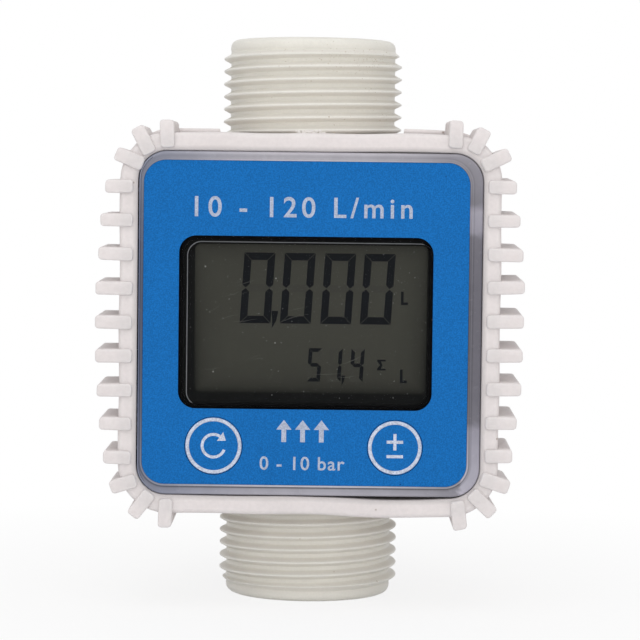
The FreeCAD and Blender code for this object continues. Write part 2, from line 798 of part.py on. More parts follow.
# ---------------------------------------------------------------- everything
def make_parts():
    """Every node by name."""
    snap_ring = make_snap_ring()
    straightener = make_straightener()
    bearing = make_bearing()
    return {
        "flow_tube": make_flow_tube(),
        "battery_housing": make_battery_housing(),
        "inlet_straightener": straightener,
        "outlet_straightener": upside_down(straightener),
        "inlet_bearing": bearing,
        "outlet_bearing": upside_down(bearing),
        "inlet_snap_ring": snap_ring,
        "outlet_snap_ring": upside_down(snap_ring),
        "turbine_rotor": make_rotor(),
        "rotor_shaft": rod_z(shaft_r, head_z - shaft_half, head_z + shaft_half),
        "rotor_magnets": group([magnet_rod(side, magnet_length) for side in SIDES]),
        "left_battery": make_battery(-1, 1),
        "right_battery": make_battery(1, -1),
        "battery_contacts": make_contacts(),
        "battery_cover": make_battery_cover(),
        "cover_seal": make_seal(body_back_y, body_back_y + seal_depth, seal_edge_inset()),
        "cover_screws": make_screw_set(cover_back_y - head_height, -1, cover_screw_length),
        "electronics_case": make_electronics_case(),
        "case_gasket": make_seal(body_front_y - seal_depth, body_front_y, seal_edge),
        "case_screws": make_screw_set(floor_y, 1, case_screw_length),
        "circuit_board": make_circuit_board(),
        "board_screws": make_board_screws(),
        "controller_chip": board_box(chip_size, chip_size, chip_thickness, 0, chip_z),
        "board_components": make_board_components(),
        "tact_switches": make_tact_switches(),
        "zebra_strips": make_zebra_strips(),
        "pickup_sensor": make_pickup_sensor(),
        "lcd_glass": make_lcd(),
        "display_bezel": make_display_bezel(),
        "front_lens": make_front_lens(),
        "face_label": make_face_label(),
        "reset_button": make_key_top(*KEYS["reset"]),
        "reset_plunger": make_plunger(reset_x),
        "calibrate_button": make_key_top(*KEYS["calibrate"]),
        "calibrate_plunger": make_plunger(calibrate_x),
        "protective_boot": make_boot(),
    }


os.makedirs("parts", exist_ok=True)
for name, shape in make_parts().items():
    shape.exportStep("parts/" + name + ".step")
    print(name, len(shape.Solids), "solids", len(shape.Faces), "faces", round(shape.Volume, 1), "mm3")
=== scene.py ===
# %% [markdown]
# # A turbine flow meter
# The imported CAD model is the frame: it says where every piece is, and which
# piece moves with which. This script keeps the rigid pieces as they are,
# gives each of them a material, and builds the pieces whose real form is
# finer than the solid: the threaded ends, the ribbed rubber boot, the clear
# lens and the printed face. +Z runs along the flow, and the display faces
# -Y. Lengths are written in millimetres, and `MM` turns them into metres.

# %% Load the frame
import json
import math
import random

import bmesh
import bpy
import numpy as np
from mathutils import Matrix, Vector


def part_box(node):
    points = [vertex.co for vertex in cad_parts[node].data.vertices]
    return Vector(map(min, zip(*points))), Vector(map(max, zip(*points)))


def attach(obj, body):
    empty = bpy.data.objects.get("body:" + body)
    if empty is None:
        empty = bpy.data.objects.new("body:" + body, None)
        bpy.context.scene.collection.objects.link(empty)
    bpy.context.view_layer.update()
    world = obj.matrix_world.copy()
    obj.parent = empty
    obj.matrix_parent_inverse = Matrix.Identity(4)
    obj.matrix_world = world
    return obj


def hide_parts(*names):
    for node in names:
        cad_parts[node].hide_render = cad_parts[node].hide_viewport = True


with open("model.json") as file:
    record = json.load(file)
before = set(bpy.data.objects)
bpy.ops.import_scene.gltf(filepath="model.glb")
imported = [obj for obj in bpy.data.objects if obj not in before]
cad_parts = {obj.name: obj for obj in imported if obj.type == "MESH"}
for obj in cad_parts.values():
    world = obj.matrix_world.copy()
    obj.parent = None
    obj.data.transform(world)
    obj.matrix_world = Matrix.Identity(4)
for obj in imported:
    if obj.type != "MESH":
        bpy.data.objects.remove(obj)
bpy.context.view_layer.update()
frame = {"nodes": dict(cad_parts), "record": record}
NODES = frame["nodes"]

# %% [markdown]
# Sizes are read from the frame where it has them, so that the dressed
# pieces follow the solids. Only the finer measures are written here.

# %% Measure the frame
MM = 0.001


def span(node):
    """Middle and half size of a node along X, Y and Z, in millimetres."""
    low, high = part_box(node)
    return (low + high) / 2 / MM, (high - low) / 2 / MM


tube_mid, tube_half = span("flow_tube")
lens_mid, lens_half = span("front_lens")
label_mid, label_half = span("face_label")
cover_mid, cover_half = span("battery_cover")
boot_mid, boot_half = span("protective_boot")
glass_mid, glass_half = span("lcd_glass")
head_z = tube_mid.z
length = 2 * tube_half.z
thread_r = tube_half.x
lens_front = lens_mid.y - lens_half.y
label_front = label_mid.y - label_half.y
lcd_front = glass_mid.y - glass_half.y
boot_front, boot_back = boot_mid.y - boot_half.y, boot_mid.y + boot_half.y
cover_back = cover_mid.y + cover_half.y
print(f"length {length:.1f} mm, thread radius {thread_r:.2f} mm, lens front at y {lens_front:.1f} mm")

# %% [markdown]
# Most pieces here are plain lists of points and faces. One helper puts any
# object into the scene. The next turns lists into a piece, gives it its
# finish, and lets it ride on its body.

# %% Make a piece


def put_in_scene(name, data):
    made = bpy.data.objects.new(name, data)
    bpy.context.scene.collection.objects.link(made)
    return made


def add_piece(name, points, faces, material, body="meter", smooth=True):
    """Make an object from points in millimetres and let it ride on a body."""
    mesh = bpy.data.meshes.new(name)
    mesh.from_pydata([(x * MM, y * MM, z * MM) for x, y, z in points], [], faces)
    mesh.validate()
    mesh.polygons.foreach_set("use_smooth", [smooth] * len(mesh.polygons))
    mesh.materials.append(material)
    piece = put_in_scene(name, mesh)
    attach(piece, body)
    return piece


def face_outward(piece):
    """Turn all faces of a closed piece so that they look outward."""
    bm = bmesh.new()
    bm.from_mesh(piece.data)
    bmesh.ops.recalc_face_normals(bm, faces=bm.faces)
    bm.to_mesh(piece.data)
    bm.free()


def paint_points(piece, name, values):
    """Store one number per point, which a material can read by name."""
    layer = piece.data.attributes.new(name, "FLOAT", "POINT")
    layer.data.foreach_set("value", np.asarray(values, np.float32))


# %% [markdown]
# A swept or turned form is a row of rings, joined one after another into a
# skin. Flat marks, such as figures and arrows, are thin plates: two copies
# of an outline with a skin between them, and a face on each end.

# %% Skins and plates


def ring_faces(rings, count, close_rings=False):
    """Quads between rings of `count` points; each ring is closed on itself."""
    faces = []
    for i in range(rings if close_rings else rings - 1):
        here, there = i * count, (i + 1) % rings * count
        for k in range(count):
            n = (k + 1) % count
            faces.append((here + k, here + n, there + n, there + k))
    return faces


def add_plates(name, outlines, front_y, thickness, material, body="meter"):
    """One or many flat plates, from outlines on XZ, in one piece."""
    points, faces = [], []
    for outline in outlines:
        base, count = len(points), len(outline)
        points += [(x, front_y + thickness, z) for x, z in outline] + [(x, front_y, z) for x, z in outline]
        faces += [tuple(base + i for i in f) for f in ring_faces(2, count)]
        faces += [tuple(base + i for i in range(count)), tuple(base + count + i for i in range(count))]
    piece = add_piece(name, points, faces, material, body, smooth=False)
    face_outward(piece)
    return piece


print("a skin of 3 rings of 4 points has", len(ring_faces(3, 4)), "faces")

# %% [markdown]
# The head, lens, label and display all have the same outline: a rectangle
# with round corners. One function gives it, with as many points along each
# side as the piece needs.

# %% Outline with round corners


def rounded_box(half_x, half_z, radius, mid_x=0.0, mid_z=head_z, per_side=1, per_corner=8):
    """Outline on XZ, anticlockwise as seen by someone who looks along +Y."""
    corners = []
    for side_x, side_z, start in ((1, -1, -90), (1, 1, 0), (-1, 1, 90), (-1, -1, 180)):
        turns = [math.radians(start + 90 * step / per_corner) for step in range(per_corner + 1)]
        corners.append([(mid_x + side_x * (half_x - radius) + radius * math.cos(turn),
                         mid_z + side_z * (half_z - radius) + radius * math.sin(turn)) for turn in turns])
    outline = []
    for corner, following in zip(corners, corners[1:] + corners[:1]):
        (x0, z0), (x1, z1) = corner[-1], following[0]
        shares = [step / per_side for step in range(1, per_side)]
        outline += corner + [(x0 + (x1 - x0) * share, z0 + (z1 - z0) * share) for share in shares]
    return outline


print("a rounded box has", len(rounded_box(10, 10, 2)), "points at its coarsest")

# %% [markdown]
# ## Finishes
# A moulded plastic is never one flat colour: it has a faint cloudiness, a
# fine grain that breaks the gloss, some dirt, and painted shade where it is hollow.
# All of it comes from noise and ramps. These helpers make one node each and
# return its output, so that a material reads from top to bottom.

# %% Helpers for materials


def srgb(red, green, blue):
    """A colour as seen on a screen (0-255), as the linear colour a shader takes."""
    return tuple((c / 255 / 12.92) if c / 255 <= 0.04045 else ((c / 255 + 0.055) / 1.055) ** 2.4
                 for c in (red, green, blue)) + (1.0,)


def grey(level):
    return (level, level, level, 1)


def tint(colour, factor):
    return tuple(min(1.0, c * factor) for c in colour[:3]) + (1.0,)


def new_material(name):
    material = bpy.data.materials.new(name)
    material.use_nodes = True
    nodes = material.node_tree.nodes
    return material, nodes, material.node_tree.links, nodes["Principled BSDF"]


def add_noise(nodes, links, place, scale, detail=3.0):
    noise = nodes.new("ShaderNodeTexNoise")
    noise.inputs["Scale"].default_value = scale
    noise.inputs["Detail"].default_value = detail
    links.new(place, noise.inputs["Vector"])
    return noise.outputs["Fac"]


def add_ramp(nodes, links, value, low, low_colour, high, high_colour):
    """A colour that goes from one to the other as the value goes from low to high."""
    ramp = nodes.new("ShaderNodeValToRGB")
    for element, position, colour in zip(ramp.color_ramp.elements, (low, high), (low_colour, high_colour)):
        element.position = position
        element.color = colour
    links.new(value, ramp.inputs["Fac"])
    return ramp.outputs["Color"]


def add_mix(nodes, links, factor, first, second, blend="MIX"):
    """A colour mix; each of the three may be a number, a colour or an output."""
    mix = nodes.new("ShaderNodeMix")
    mix.data_type = "RGBA"
    mix.blend_type = blend
    for socket, value in (("Factor", factor), ("A", first), ("B", second)):
        target = [s for s in mix.inputs if s.name == socket and s.enabled][0]
        if hasattr(value, "is_output"):
            links.new(value, target)
        else:
            target.default_value = value
    return [s for s in mix.outputs if s.enabled][0]


print("white at three quarters of the screen's scale:", [round(c, 3) for c in srgb(191, 191, 191)])

# %% [markdown]
# Every moulded, painted or plated surface is one recipe: clouds and grain
# in the colour, specks of dirt if asked for, shade where the mesh has it
# painted on, the clouds again in the roughness, and the grain as a fine
# bump. Numbers that are the same all over go on the shader's own sockets.

# %% One recipe for moulded, painted and plated surfaces
RELIEF_STRENGTH = 0.6
GLOSS_SPREAD = 0.08         # share by which the clouds change the roughness
SPECK_EDGE = 1.6            # a speck fades out by this many times its size
RARE_SCALE = 0.31           # scale of the noise that chooses which specks stay
GLOW_DEPTH = 0.0022         # metres that light travels under the surface


def finish(name, seen, rough=0.5, cloud=0.03, cloud_size=250.0, grain=0.02, grain_size=4000.0,
           bump=0.02, shade_name=None, shade_seen=None, coat=0.0, metal=0.0, sheen=0.0,
           specks=None, subsurface=0.0, specular=0.5):
    """A surface with this colour as seen on a screen (0-255)."""
    material, nodes, links, shader = new_material(name)
    colour = srgb(*seen)
    place = nodes.new("ShaderNodeTexCoord").outputs["Object"]
    clouds = add_noise(nodes, links, place, cloud_size)
    base = add_ramp(nodes, links, clouds, 0.3, tint(colour, 1 - cloud), 0.7, tint(colour, 1 + cloud))
    fine = add_noise(nodes, links, place, grain_size, 2.0)
    grains = add_ramp(nodes, links, fine, 0.35, grey(1 - grain), 0.65, grey(1))
    base = add_mix(nodes, links, 1.0, base, grains, "MULTIPLY")
    if specks:
        size, amount, speck_seen = specks
        cells = nodes.new("ShaderNodeTexVoronoi")
        cells.inputs["Scale"].default_value = size
        links.new(place, cells.inputs["Vector"])
        spots = add_ramp(nodes, links, cells.outputs["Distance"], amount, grey(1), amount * SPECK_EDGE, grey(0))
        rare = add_noise(nodes, links, place, size * RARE_SCALE, 0.0)
        chosen = add_ramp(nodes, links, rare, 0.60, grey(0), 0.64, grey(1))
        where = add_mix(nodes, links, 1.0, spots, chosen, "MULTIPLY")
        base = add_mix(nodes, links, where, base, srgb(*speck_seen))
    if shade_name:
        shade = nodes.new("ShaderNodeAttribute")
        shade.attribute_name = shade_name
        base = add_mix(nodes, links, shade.outputs["Fac"], base, srgb(*shade_seen))
    links.new(base, shader.inputs["Base Color"])
    gloss = add_ramp(nodes, links, clouds, 0.3, grey(rough * (1 - GLOSS_SPREAD)),
                     0.7, grey(min(1, rough * (1 + GLOSS_SPREAD))))
    links.new(gloss, shader.inputs["Roughness"])
    relief = nodes.new("ShaderNodeBump")
    relief.inputs["Strength"].default_value = RELIEF_STRENGTH
    relief.inputs["Distance"].default_value = bump * MM
    links.new(fine, relief.inputs["Height"])
    links.new(relief.outputs["Normal"], shader.inputs["Normal"])
    for socket, value in (("Metallic", metal), ("Coat Weight", coat), ("Sheen Weight", sheen),
                          ("Subsurface Weight", subsurface), ("Subsurface Scale", GLOW_DEPTH),
                          ("Subsurface Radius", (1.0, 1.0, 1.0)), ("Specular IOR Level", specular)):
        shader.inputs[socket].default_value = value
    return material


print("light goes", GLOW_DEPTH / MM, "mm deep in rubber and nylon")

# %% [markdown]
# The tube, housing and cover are one warm white moulding compound. The boot
# is a softer, slightly pink white rubber, matt and a little cloudy, with painted
# shade where it meets the lens. Both read a painted number named `shade`, for
# painted shade: the meshes below store how deep in a hollow each point lies.

# %% Plastics and rubber of the outside
# Each shade colour below is the colour of the painted shade in hollows and at the lens.
body_white = finish("moulded_nylon", (231, 228, 220), rough=0.42, cloud=0.018, cloud_size=180.0,
                    grain=0.03, grain_size=2600.0, bump=0.03, shade_name="shade",
                    shade_seen=(162, 150, 138), specks=(420.0, 0.05, (184, 170, 152)),
                    specular=0.35, subsurface=0.45)
boot_white = finish("silicone_boot", (230, 223, 222), rough=0.62, cloud=0.025, cloud_size=140.0,
                    grain=0.04, grain_size=1500.0, bump=0.05, shade_name="shade",
                    shade_seen=(158, 152, 152), specks=(300.0, 0.05, (176, 164, 156)),
                    sheen=0.06, specular=0.3, subsurface=0.35)
print("outside finishes:", body_white.name, boot_white.name)

# %% [markdown]
# ## The threaded ends
# Each end is a pipe thread of eleven turns to the inch: a helix, so its
# crest climbs by one pitch per turn. It could be made by sweeping a tooth
# along a helix and joining it to a tube, but thin boolean slivers spoil the
# ends. Here the whole tube is one skin of rings instead, and on the
# threaded part the radius of each point follows from its height and angle.

# %% The thread's section
PITCH = 2.309
THREAD_DEPTH = 1.3
CREST_HALF = 0.13           # half the flat on a crest
EDGE_SOFT = 0.1             # how far the crest's edge is rounded
EDGE_DROP = 0.25            # share of the flank's drop that the round starts with
FLANK = math.radians(27.5)
FLANK_RUN = THREAD_DEPTH * math.tan(FLANK)
FIRST_CREST = {"low": head_z - 37.36, "high": head_z + 47.51}


def thread_radius(z, turn, crest):
    """Radius at this height and turn angle (radians, from the -X side)."""
    rise = z - crest - PITCH * turn / (2 * math.pi)
    from_crest = abs((rise / PITCH + 0.5) % 1.0 - 0.5) * PITCH
    drop = THREAD_DEPTH * (from_crest - CREST_HALF) / FLANK_RUN
    if from_crest < CREST_HALF + EDGE_SOFT:
        drop = EDGE_DROP * THREAD_DEPTH * EDGE_SOFT / FLANK_RUN * (from_crest / CREST_HALF) ** 2
    return thread_r - max(0.0, min(THREAD_DEPTH, drop))


print(f"a flank runs {FLANK_RUN:.2f} mm of the {PITCH} mm pitch")

# %% [markdown]
# A real die starts and stops gently: the thread rises out of a plain collar
# at the mouth, and sinks back into the plain neck by the housing.

# %% Where the thread starts and stops
PLAIN_R = 15.2
THREAD_START, THREAD_END = 2.0, 17.45
RISE_IN, RISE_OUT = 1.15, 2.2      # how steeply it rises from the collar and the neck


def outer_radius(distance, z, turn, crest):
    """Radius of the outside, at a distance from the nearer end face."""
    if distance < THREAD_START or distance > THREAD_END:
        return PLAIN_R
    ramp_in = PLAIN_R + (distance - THREAD_START) * RISE_IN
    ramp_out = PLAIN_R + (THREAD_END - distance) * RISE_OUT
    low = min(PLAIN_R, thread_r - THREAD_DEPTH)
    return max(low, min(thread_radius(z, turn, crest), ramp_in, ramp_out))


print(f"thread from {THREAD_START} to {THREAD_END} mm from each end")

# %% [markdown]
# The skin goes round once: out of the inlet's mouth, over the rounded rim,
# along the thread, past the housing, over the outlet's thread, and back
# through the bore with its steps. Rows are close where the thread needs
# them. Each row is its distance from an end, a radius, which end it belongs
# to, and whether the thread shapes it.

# %% Rows of the flow tube
TURN_STEPS = 168
ROWS_PER_PITCH = 22
END_ROUND = 1.3
ROUND_STEPS = 6
OVERRUN = 0.3                      # rows go this far past the thread's ends
HOUSED_R = 13.3                    # outside, where the tube runs in the housing
MOUTH = [(0.6, 12.0), (0.3, 12.16), (0.08, 12.42), (0.0, 12.75), (0.0, 13.5)]
BORE = [(24.4, 12.0), (24.45, 11.7), (28.7, 11.7), (28.75, 12.3), (30.0, 12.3), (30.05, 11.7),
        (42.95, 11.7), (43.0, 11.2)]


def outside_rows(high_end):
    """Rows from the mouth of one end to the housing."""
    plain = list(MOUTH)
    for step in range(ROUND_STEPS + 1):
        turn = math.pi / 2 * step / ROUND_STEPS
        plain.append((END_ROUND * (1 - math.cos(turn)), PLAIN_R - END_ROUND * (1 - math.sin(turn))))
    run = THREAD_END - THREAD_START + 2 * OVERRUN
    count = int(run / PITCH * ROWS_PER_PITCH)
    threaded = [THREAD_START - OVERRUN + run * step / count for step in range(count + 1)]
    inner = [(19.2, PLAIN_R), (20.55, PLAIN_R), (20.75, HOUSED_R), (30.0, HOUSED_R)]
    return ([(d, r, high_end, False) for d, r in plain] + [(d, 0, high_end, True) for d in threaded]
            + [(d, r, high_end, False) for d, r in inner])


tube_rows = outside_rows(False) + outside_rows(True)[::-1]
tube_rows += [(d, r, True, False) for d, r in BORE] + [(d, r, False, False) for d, r in BORE[::-1]]
print("flow tube:", len(tube_rows), "rows of", TURN_STEPS, "points")

# %% [markdown]
# Now each row becomes a ring of points. The flanks get a little painted shade,
# and the bore lies in painted shade too: both are painted as `shade` while the
# points are made, because the radius is at hand here.

# %% Build the flow tube
HOLLOW_SHADE = 0.14
BORE_SHADE = 0.35 * HOLLOW_SHADE
BORE_RADII = (11.0, 12.9)
tube_points, tube_shade = [], []
for distance, radius, high_end, threaded in tube_rows:
    z = length - distance if high_end else distance
    crest = FIRST_CREST["high" if high_end else "low"]
    for k in range(TURN_STEPS):
        turn = 2 * math.pi * k / TURN_STEPS
        r = outer_radius(distance, z, turn, crest) if threaded else radius
        shade = 0.0
        if threaded:
            shade = math.sin(math.pi * min(1.0, (thread_r - r) / THREAD_DEPTH)) * HOLLOW_SHADE
        if BORE_RADII[0] < r < BORE_RADII[1]:
            shade = BORE_SHADE
        tube_points.append((-r * math.cos(turn), -r * math.sin(turn), z))
        tube_shade.append(shade)
flow_tube = add_piece("threaded_flow_tube", tube_points,
                      ring_faces(len(tube_rows), TURN_STEPS, close_rings=True), body_white)
face_outward(flow_tube)
paint_points(flow_tube, "shade", tube_shade)
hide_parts("flow_tube")
print("flow tube:", len(flow_tube.data.polygons), "faces")

# %% [markdown]
# ## The rubber boot
# The boot is stretched round the head: a lip in front that holds the lens,
# a band, a taller rim behind it, and a hook over the rear cover. It could
# be a subdivided box, but its walls keep one section all the way round, so
# it is a section carried round a square with round corners. Each point of
# the section is its distance from the head's centre, and its y.

# %% Section of the boot's wall
CORNER_CENTRE = 25.1        # where the round corners have their centres
OPENING = 30.25             # half size of the opening for the lens
WALL_IN, WALL_OUT = 30.45, 33.45
EDGE_ROUND = 0.85
LIP_ROUND = 0.3
RIM_MID, RIM_ROUND = 34.1, 0.35
BACK_ROUND = 0.8
LIP_FRONT = boot_front + 0.5


def arc(mid_h, mid_y, radius, start, end, steps):
    """Points along part of a circle."""
    turns = [math.radians(start + (end - start) * i / steps) for i in range(steps + 1)]
    return [(mid_h + radius * math.cos(turn), mid_y + radius * math.sin(turn)) for turn in turns]


section = [(OPENING + 0.02, -25.42), (OPENING, -26.3), (OPENING, LIP_FRONT + 0.35)]
section += arc(OPENING + LIP_ROUND, LIP_FRONT + LIP_ROUND, LIP_ROUND, 180, 270, 3)
section += [(31.2, LIP_FRONT), (31.9, LIP_FRONT + 0.02)]
section += arc(WALL_OUT - EDGE_ROUND, LIP_FRONT + EDGE_ROUND, EDGE_ROUND, 270, 360, 6)
section += [(WALL_OUT, y) for y in (-25.0, -22.0, -19.0, -16.0, -13.5)]
section += [(WALL_OUT - 0.05, -12.5), (WALL_OUT - 0.22, -12.2), (WALL_OUT - 0.05, -11.95)]
section += arc(RIM_MID, -11.55, RIM_ROUND, 270, 360, 3) + arc(RIM_MID, -9.05, RIM_ROUND, 0, 90, 3)
section += [(WALL_OUT + 0.1, -8.6)] + [(WALL_OUT, y) for y in (-8.2, -2.0, 5.0, 12.0, 19.0)]
section += arc(WALL_OUT - BACK_ROUND, boot_back - BACK_ROUND, BACK_ROUND, 0, 90, 4)
section += [(30.5, boot_back)] + arc(28.5, boot_back - LIP_ROUND, LIP_ROUND, 90, 180, 3)
section += [(28.2, cover_back + 0.05), (WALL_IN, cover_back + 0.02), (WALL_IN, 0.0), (WALL_IN, -25.4)]
print("boot section:", len(section), "points")

# %% [markdown]
# Carried round, the section is a closed box. The two necks of the tube need
# round openings, with a wider, shallow relief on the inside where the
# housing has a rim. A boolean is right for these: the cut is round, the
# wall is flat there, and nothing has to bend afterwards.

# %% Carry the section round and open the necks
wall_points = []
for reach, y in section:
    for x, z in rounded_box(reach, reach, reach - CORNER_CENTRE, per_side=44, per_corner=10):
        wall_points.append((x, y, z))
boot = add_piece("rubber_boot", wall_points, ring_faces(len(section), len(wall_points) // len(section), True),
                 boot_white)
face_outward(boot)


def cut_round(piece, radius, z_from, z_to):
    """Cut a round opening along the flow axis."""
    bm = bmesh.new()
    bmesh.ops.create_cone(bm, cap_ends=True, segments=120, radius1=radius * MM, radius2=radius * MM,
                          depth=(z_to - z_from) * MM)
    bmesh.ops.translate(bm, verts=bm.verts, vec=(0, 0, (z_from + z_to) / 2 * MM))
    cutter_mesh = bpy.data.meshes.new("neck_cutter")
    bm.to_mesh(cutter_mesh)
    bm.free()
    cutter = put_in_scene("neck_cutter", cutter_mesh)
    boolean = piece.modifiers.new("opening", "BOOLEAN")
    boolean.object = cutter
    boolean.operation = "DIFFERENCE"
    boolean.solver = "EXACT"
    bpy.context.view_layer.update()
    cut = bpy.data.meshes.new_from_object(piece.evaluated_get(bpy.context.evaluated_depsgraph_get()))
    piece.modifiers.clear()
    piece.data = cut
    bpy.data.objects.remove(cutter)


NECK_R, RIM_RELIEF = 15.45, 20.4
for radius, z_from, z_to in ((NECK_R, 16.0, 24.0), (RIM_RELIEF, 15.0, 17.52)):
    cut_round(boot, radius, z_from, z_to)
    cut_round(boot, radius, length - z_to, length - z_from)
print("boot wall:", len(boot.data.vertices), "points")

# %% [markdown]
# Thirty ribs stand out from the boot: nine on each side, and three round
# each corner. Each one is a plate with a rounded tip and a rounded inner
# end that lies over the lip. No two are quite alike: length, thickness,
# angle and droop get a small seeded difference.

# %% One rib
FIN_DEPTH = 16.4            # front to back
FIN_THICK, CORNER_THICK = 2.3, 2.5
FIN_TAPER = 0.05
maker = random.Random(7)


def rib_points(long, thick, droop):
    """A rounded plate along +X from 0, as points and faces, in millimetres."""
    bm = bmesh.new()
    bmesh.ops.create_cube(bm, size=1.0)
    for v in bm.verts:
        v.co = Vector(((v.co.x + 0.5) * long, boot_front + (v.co.y + 0.5) * FIN_DEPTH, v.co.z * thick))
    bm.edges.ensure_lookup_table()
    along_y = [e for e in bm.edges if abs(e.verts[0].co.y - e.verts[1].co.y) > 1.0]
    bmesh.ops.bevel(bm, geom=along_y, offset=0.62, segments=4, profile=0.5, affect="EDGES")
    for end_y, offset, segments in ((boot_front, 0.3, 3), (boot_front + FIN_DEPTH, 0.2, 2)):
        rim = [e for e in bm.edges if all(abs(v.co.y - end_y) < 1e-4 for v in e.verts)]
        bmesh.ops.bevel(bm, geom=rim, offset=offset, segments=segments, profile=0.5, affect="EDGES")
    for v in bm.verts:
        share = v.co.x / long
        v.co.z *= 1.0 + FIN_TAPER * (0.5 - share)
        v.co.z += droop * share ** 2
    bm.verts.index_update()
    points = [tuple(v.co) for v in bm.verts]
    faces = [tuple(v.index for v in f.verts) for f in bm.faces]
    bm.free()
    return points, faces


def place_rib(x, rise, angle, long, thick=FIN_THICK, climb=0.0):
    """A rib in place: it starts at (x, rise from the centre) and points along the angle."""
    points, faces = rib_points(long, thick + maker.uniform(-0.1, 0.12), maker.uniform(-0.15, 0.12))
    turn = math.radians(angle + maker.uniform(-0.8, 0.8))
    placed = [(x + a * math.cos(turn) - c * math.sin(turn), y,
               head_z + rise + a * math.sin(turn) + c * math.cos(turn) + climb * (y - boot_front))
              for a, y, c in points]
    return placed, faces


print("a rib is", FIN_THICK, "mm thick, at a corner", CORNER_THICK, "mm")

# %% [markdown]
# The side ribs stand one pitch apart, and their tips follow a long shallow
# arc. On the right they climb a little towards the back and sit higher,
# because the boot was pulled on askew. The corner ribs fan out, each at its
# own place, so they are a table: start x and rise, tip x and rise.

# %% Lay out the ribs
FIN_COUNT, FIN_PITCH, FIN_START = 9, 5.95, 31.05
TIP_ARC = 170.0
RIGHT_SHIFT, RIGHT_SHIFT_LOSS = 0.775, 0.175 / 23.8
CLIMB = {-1: 0.012, 1: 0.04}
ribs = []
for side in (-1, 1):
    for index in range(FIN_COUNT):
        rise = (index - (FIN_COUNT - 1) / 2) * FIN_PITCH
        tip = boot_half.x - (TIP_ARC - math.sqrt(TIP_ARC ** 2 - rise ** 2)) - maker.uniform(0.0, 0.18)
        shift = RIGHT_SHIFT - RIGHT_SHIFT_LOSS * rise if side > 0 else 0.0
        ribs.append(place_rib(side * FIN_START, rise + shift + maker.uniform(-0.08, 0.08),
                              0 if side > 0 else 180, tip - FIN_START, climb=CLIMB[side]))
CORNER_RIBS = [(-25.2, 30.7, -25.2, 35.6), (-28.2, 29.6, -30.65, 34.1), (-29.4, 27.7, -34.2, 29.7),
               (-30.2, -27.7, -34.7, -29.35), (-27.7, -29.9, -30.9, -34.1), (-25.0, -30.9, -24.95, -35.95),
               (25.1, 31.1, 25.35, 36.0), (28.1, 30.4, 30.3, 34.5), (29.9, 28.0, 34.5, 30.25),
               (30.4, -26.7, 35.25, -28.55), (28.7, -29.2, 32.65, -33.05), (26.2, -30.6, 27.1, -35.65)]
for start_x, start_rise, tip_x, tip_rise in CORNER_RIBS:
    across, up = tip_x - start_x, tip_rise - start_rise
    ribs.append(place_rib(start_x, start_rise, math.degrees(math.atan2(up, across)),
                          math.hypot(across, up), CORNER_THICK))
print("ribs:", len(ribs))

# %% [markdown]
# Soft moulded rubber is never straight. On this one the lower band has
# crept down and left a dark gap under the lens, and the edges wander by a
# tenth of a millimetre. One function bends every point of the boot, so the
# wall and its ribs stay together.

# %% How the rubber has settled


def bump_between(value, start, end):
    """0 outside start and end, 1 in the middle, smooth."""
    if not start < value < end:
        return 0.0
    return 0.5 - 0.5 * math.cos(2 * math.pi * (value - start) / (end - start))


def from_centre(x, z):
    """Half size of the rounded square that passes through this point."""
    dx, dz = abs(x) - CORNER_CENTRE, abs(z - head_z) - CORNER_CENTRE
    if dx <= 0 or dz <= 0:
        return CORNER_CENTRE + max(dx, dz)
    return CORNER_CENTRE + math.hypot(dx, dz)


SAGS = [(0.42, 3.0, 31.0), (0.2, -9.0, 26.0), (0.12, -26.0, 0.0)]      # depth, from x, to x
LIFT, LIFT_FROM, LIFT_TO, LIFT_LOSS = 0.35, 2.0, 30.0, 0.6


def settle(x, y, z):
    rise = z - head_z
    near_front = max(0.0, min(1.0, (-14.0 - y) / 10.0))
    if rise < -27.0:
        z -= sum(depth * bump_between(x, start, end) for depth, start, end in SAGS) * near_front
    if rise > 27.0:
        z += LIFT * bump_between(x, LIFT_FROM, LIFT_TO) * (1.0 - LIFT_LOSS * near_front)
    loose = near_front * max(0.0, min(1.0, (from_centre(x, z) - OPENING - 0.2) / 1.2))
    x += 0.08 * math.sin(z * 0.31 + y * 0.17) * loose
    z += 0.07 * math.sin(x * 0.37 + 1.3) * loose
    return max(-boot_half.x, min(boot_half.x, x)), y, z


print("deepest sag under the lens:", SAGS[0][0], "mm")

# %% [markdown]
# The ribs join the wall in one mesh. Its hollows are shaded before the
# rubber settles, while the places of the lip, groove and necks are known.

# %% Join wall and ribs, shade the hollows, and let the rubber settle
# Painted shade: at the lip by the lens, in the groove, round the necks, inside the wall and at the roots of the
# ribs.
LIP_SHADE, GROOVE_SHADE, NECK_SHADE, INSIDE_SHADE, ROOT_SHADE = 0.62, 0.75, 0.45, 0.9, 0.22


def wall_shade(x, y, reach):
    """How deep in a hollow a point of the wall lies."""
    shade = 0.0
    if y < -25.0:
        shade = max(shade, min(1.0, (31.15 - reach) / 0.95) * LIP_SHADE)
    if -12.45 < y < -11.85 and reach < 33.6:
        shade = GROOVE_SHADE
    if math.hypot(x, y) < NECK_R + 0.45:
        shade = max(shade, NECK_SHADE)
    if reach < 30.6 and -25.3 < y < cover_mid.y:
        shade = INSIDE_SHADE
    return shade


points = [tuple(v.co / MM) for v in boot.data.vertices]
faces = [tuple(p.vertices) for p in boot.data.polygons]
boot_shade = [wall_shade(x, y, from_centre(x, z)) for x, y, z in points]
for rib, rib_faces in ribs:
    faces += [tuple(len(points) + i for i in f) for f in rib_faces]
    points += rib
    boot_shade += [ROOT_SHADE if from_centre(x, z) < 33.9 and y > LIP_FRONT else 0.0 for x, y, z in rib]
joined = bpy.data.meshes.new("rubber_boot_shape")
joined.from_pydata([tuple(c * MM for c in settle(*p)) for p in points], [], faces)
joined.validate()
joined.polygons.foreach_set("use_smooth", [True] * len(joined.polygons))
joined.materials.append(boot_white)
boot.data = joined
face_outward(boot)
paint_points(boot, "shade", boot_shade)
joined.set_sharp_from_angle(angle=math.radians(50))
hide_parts("protective_boot")
print("boot:", len(points), "points, with its ribs")

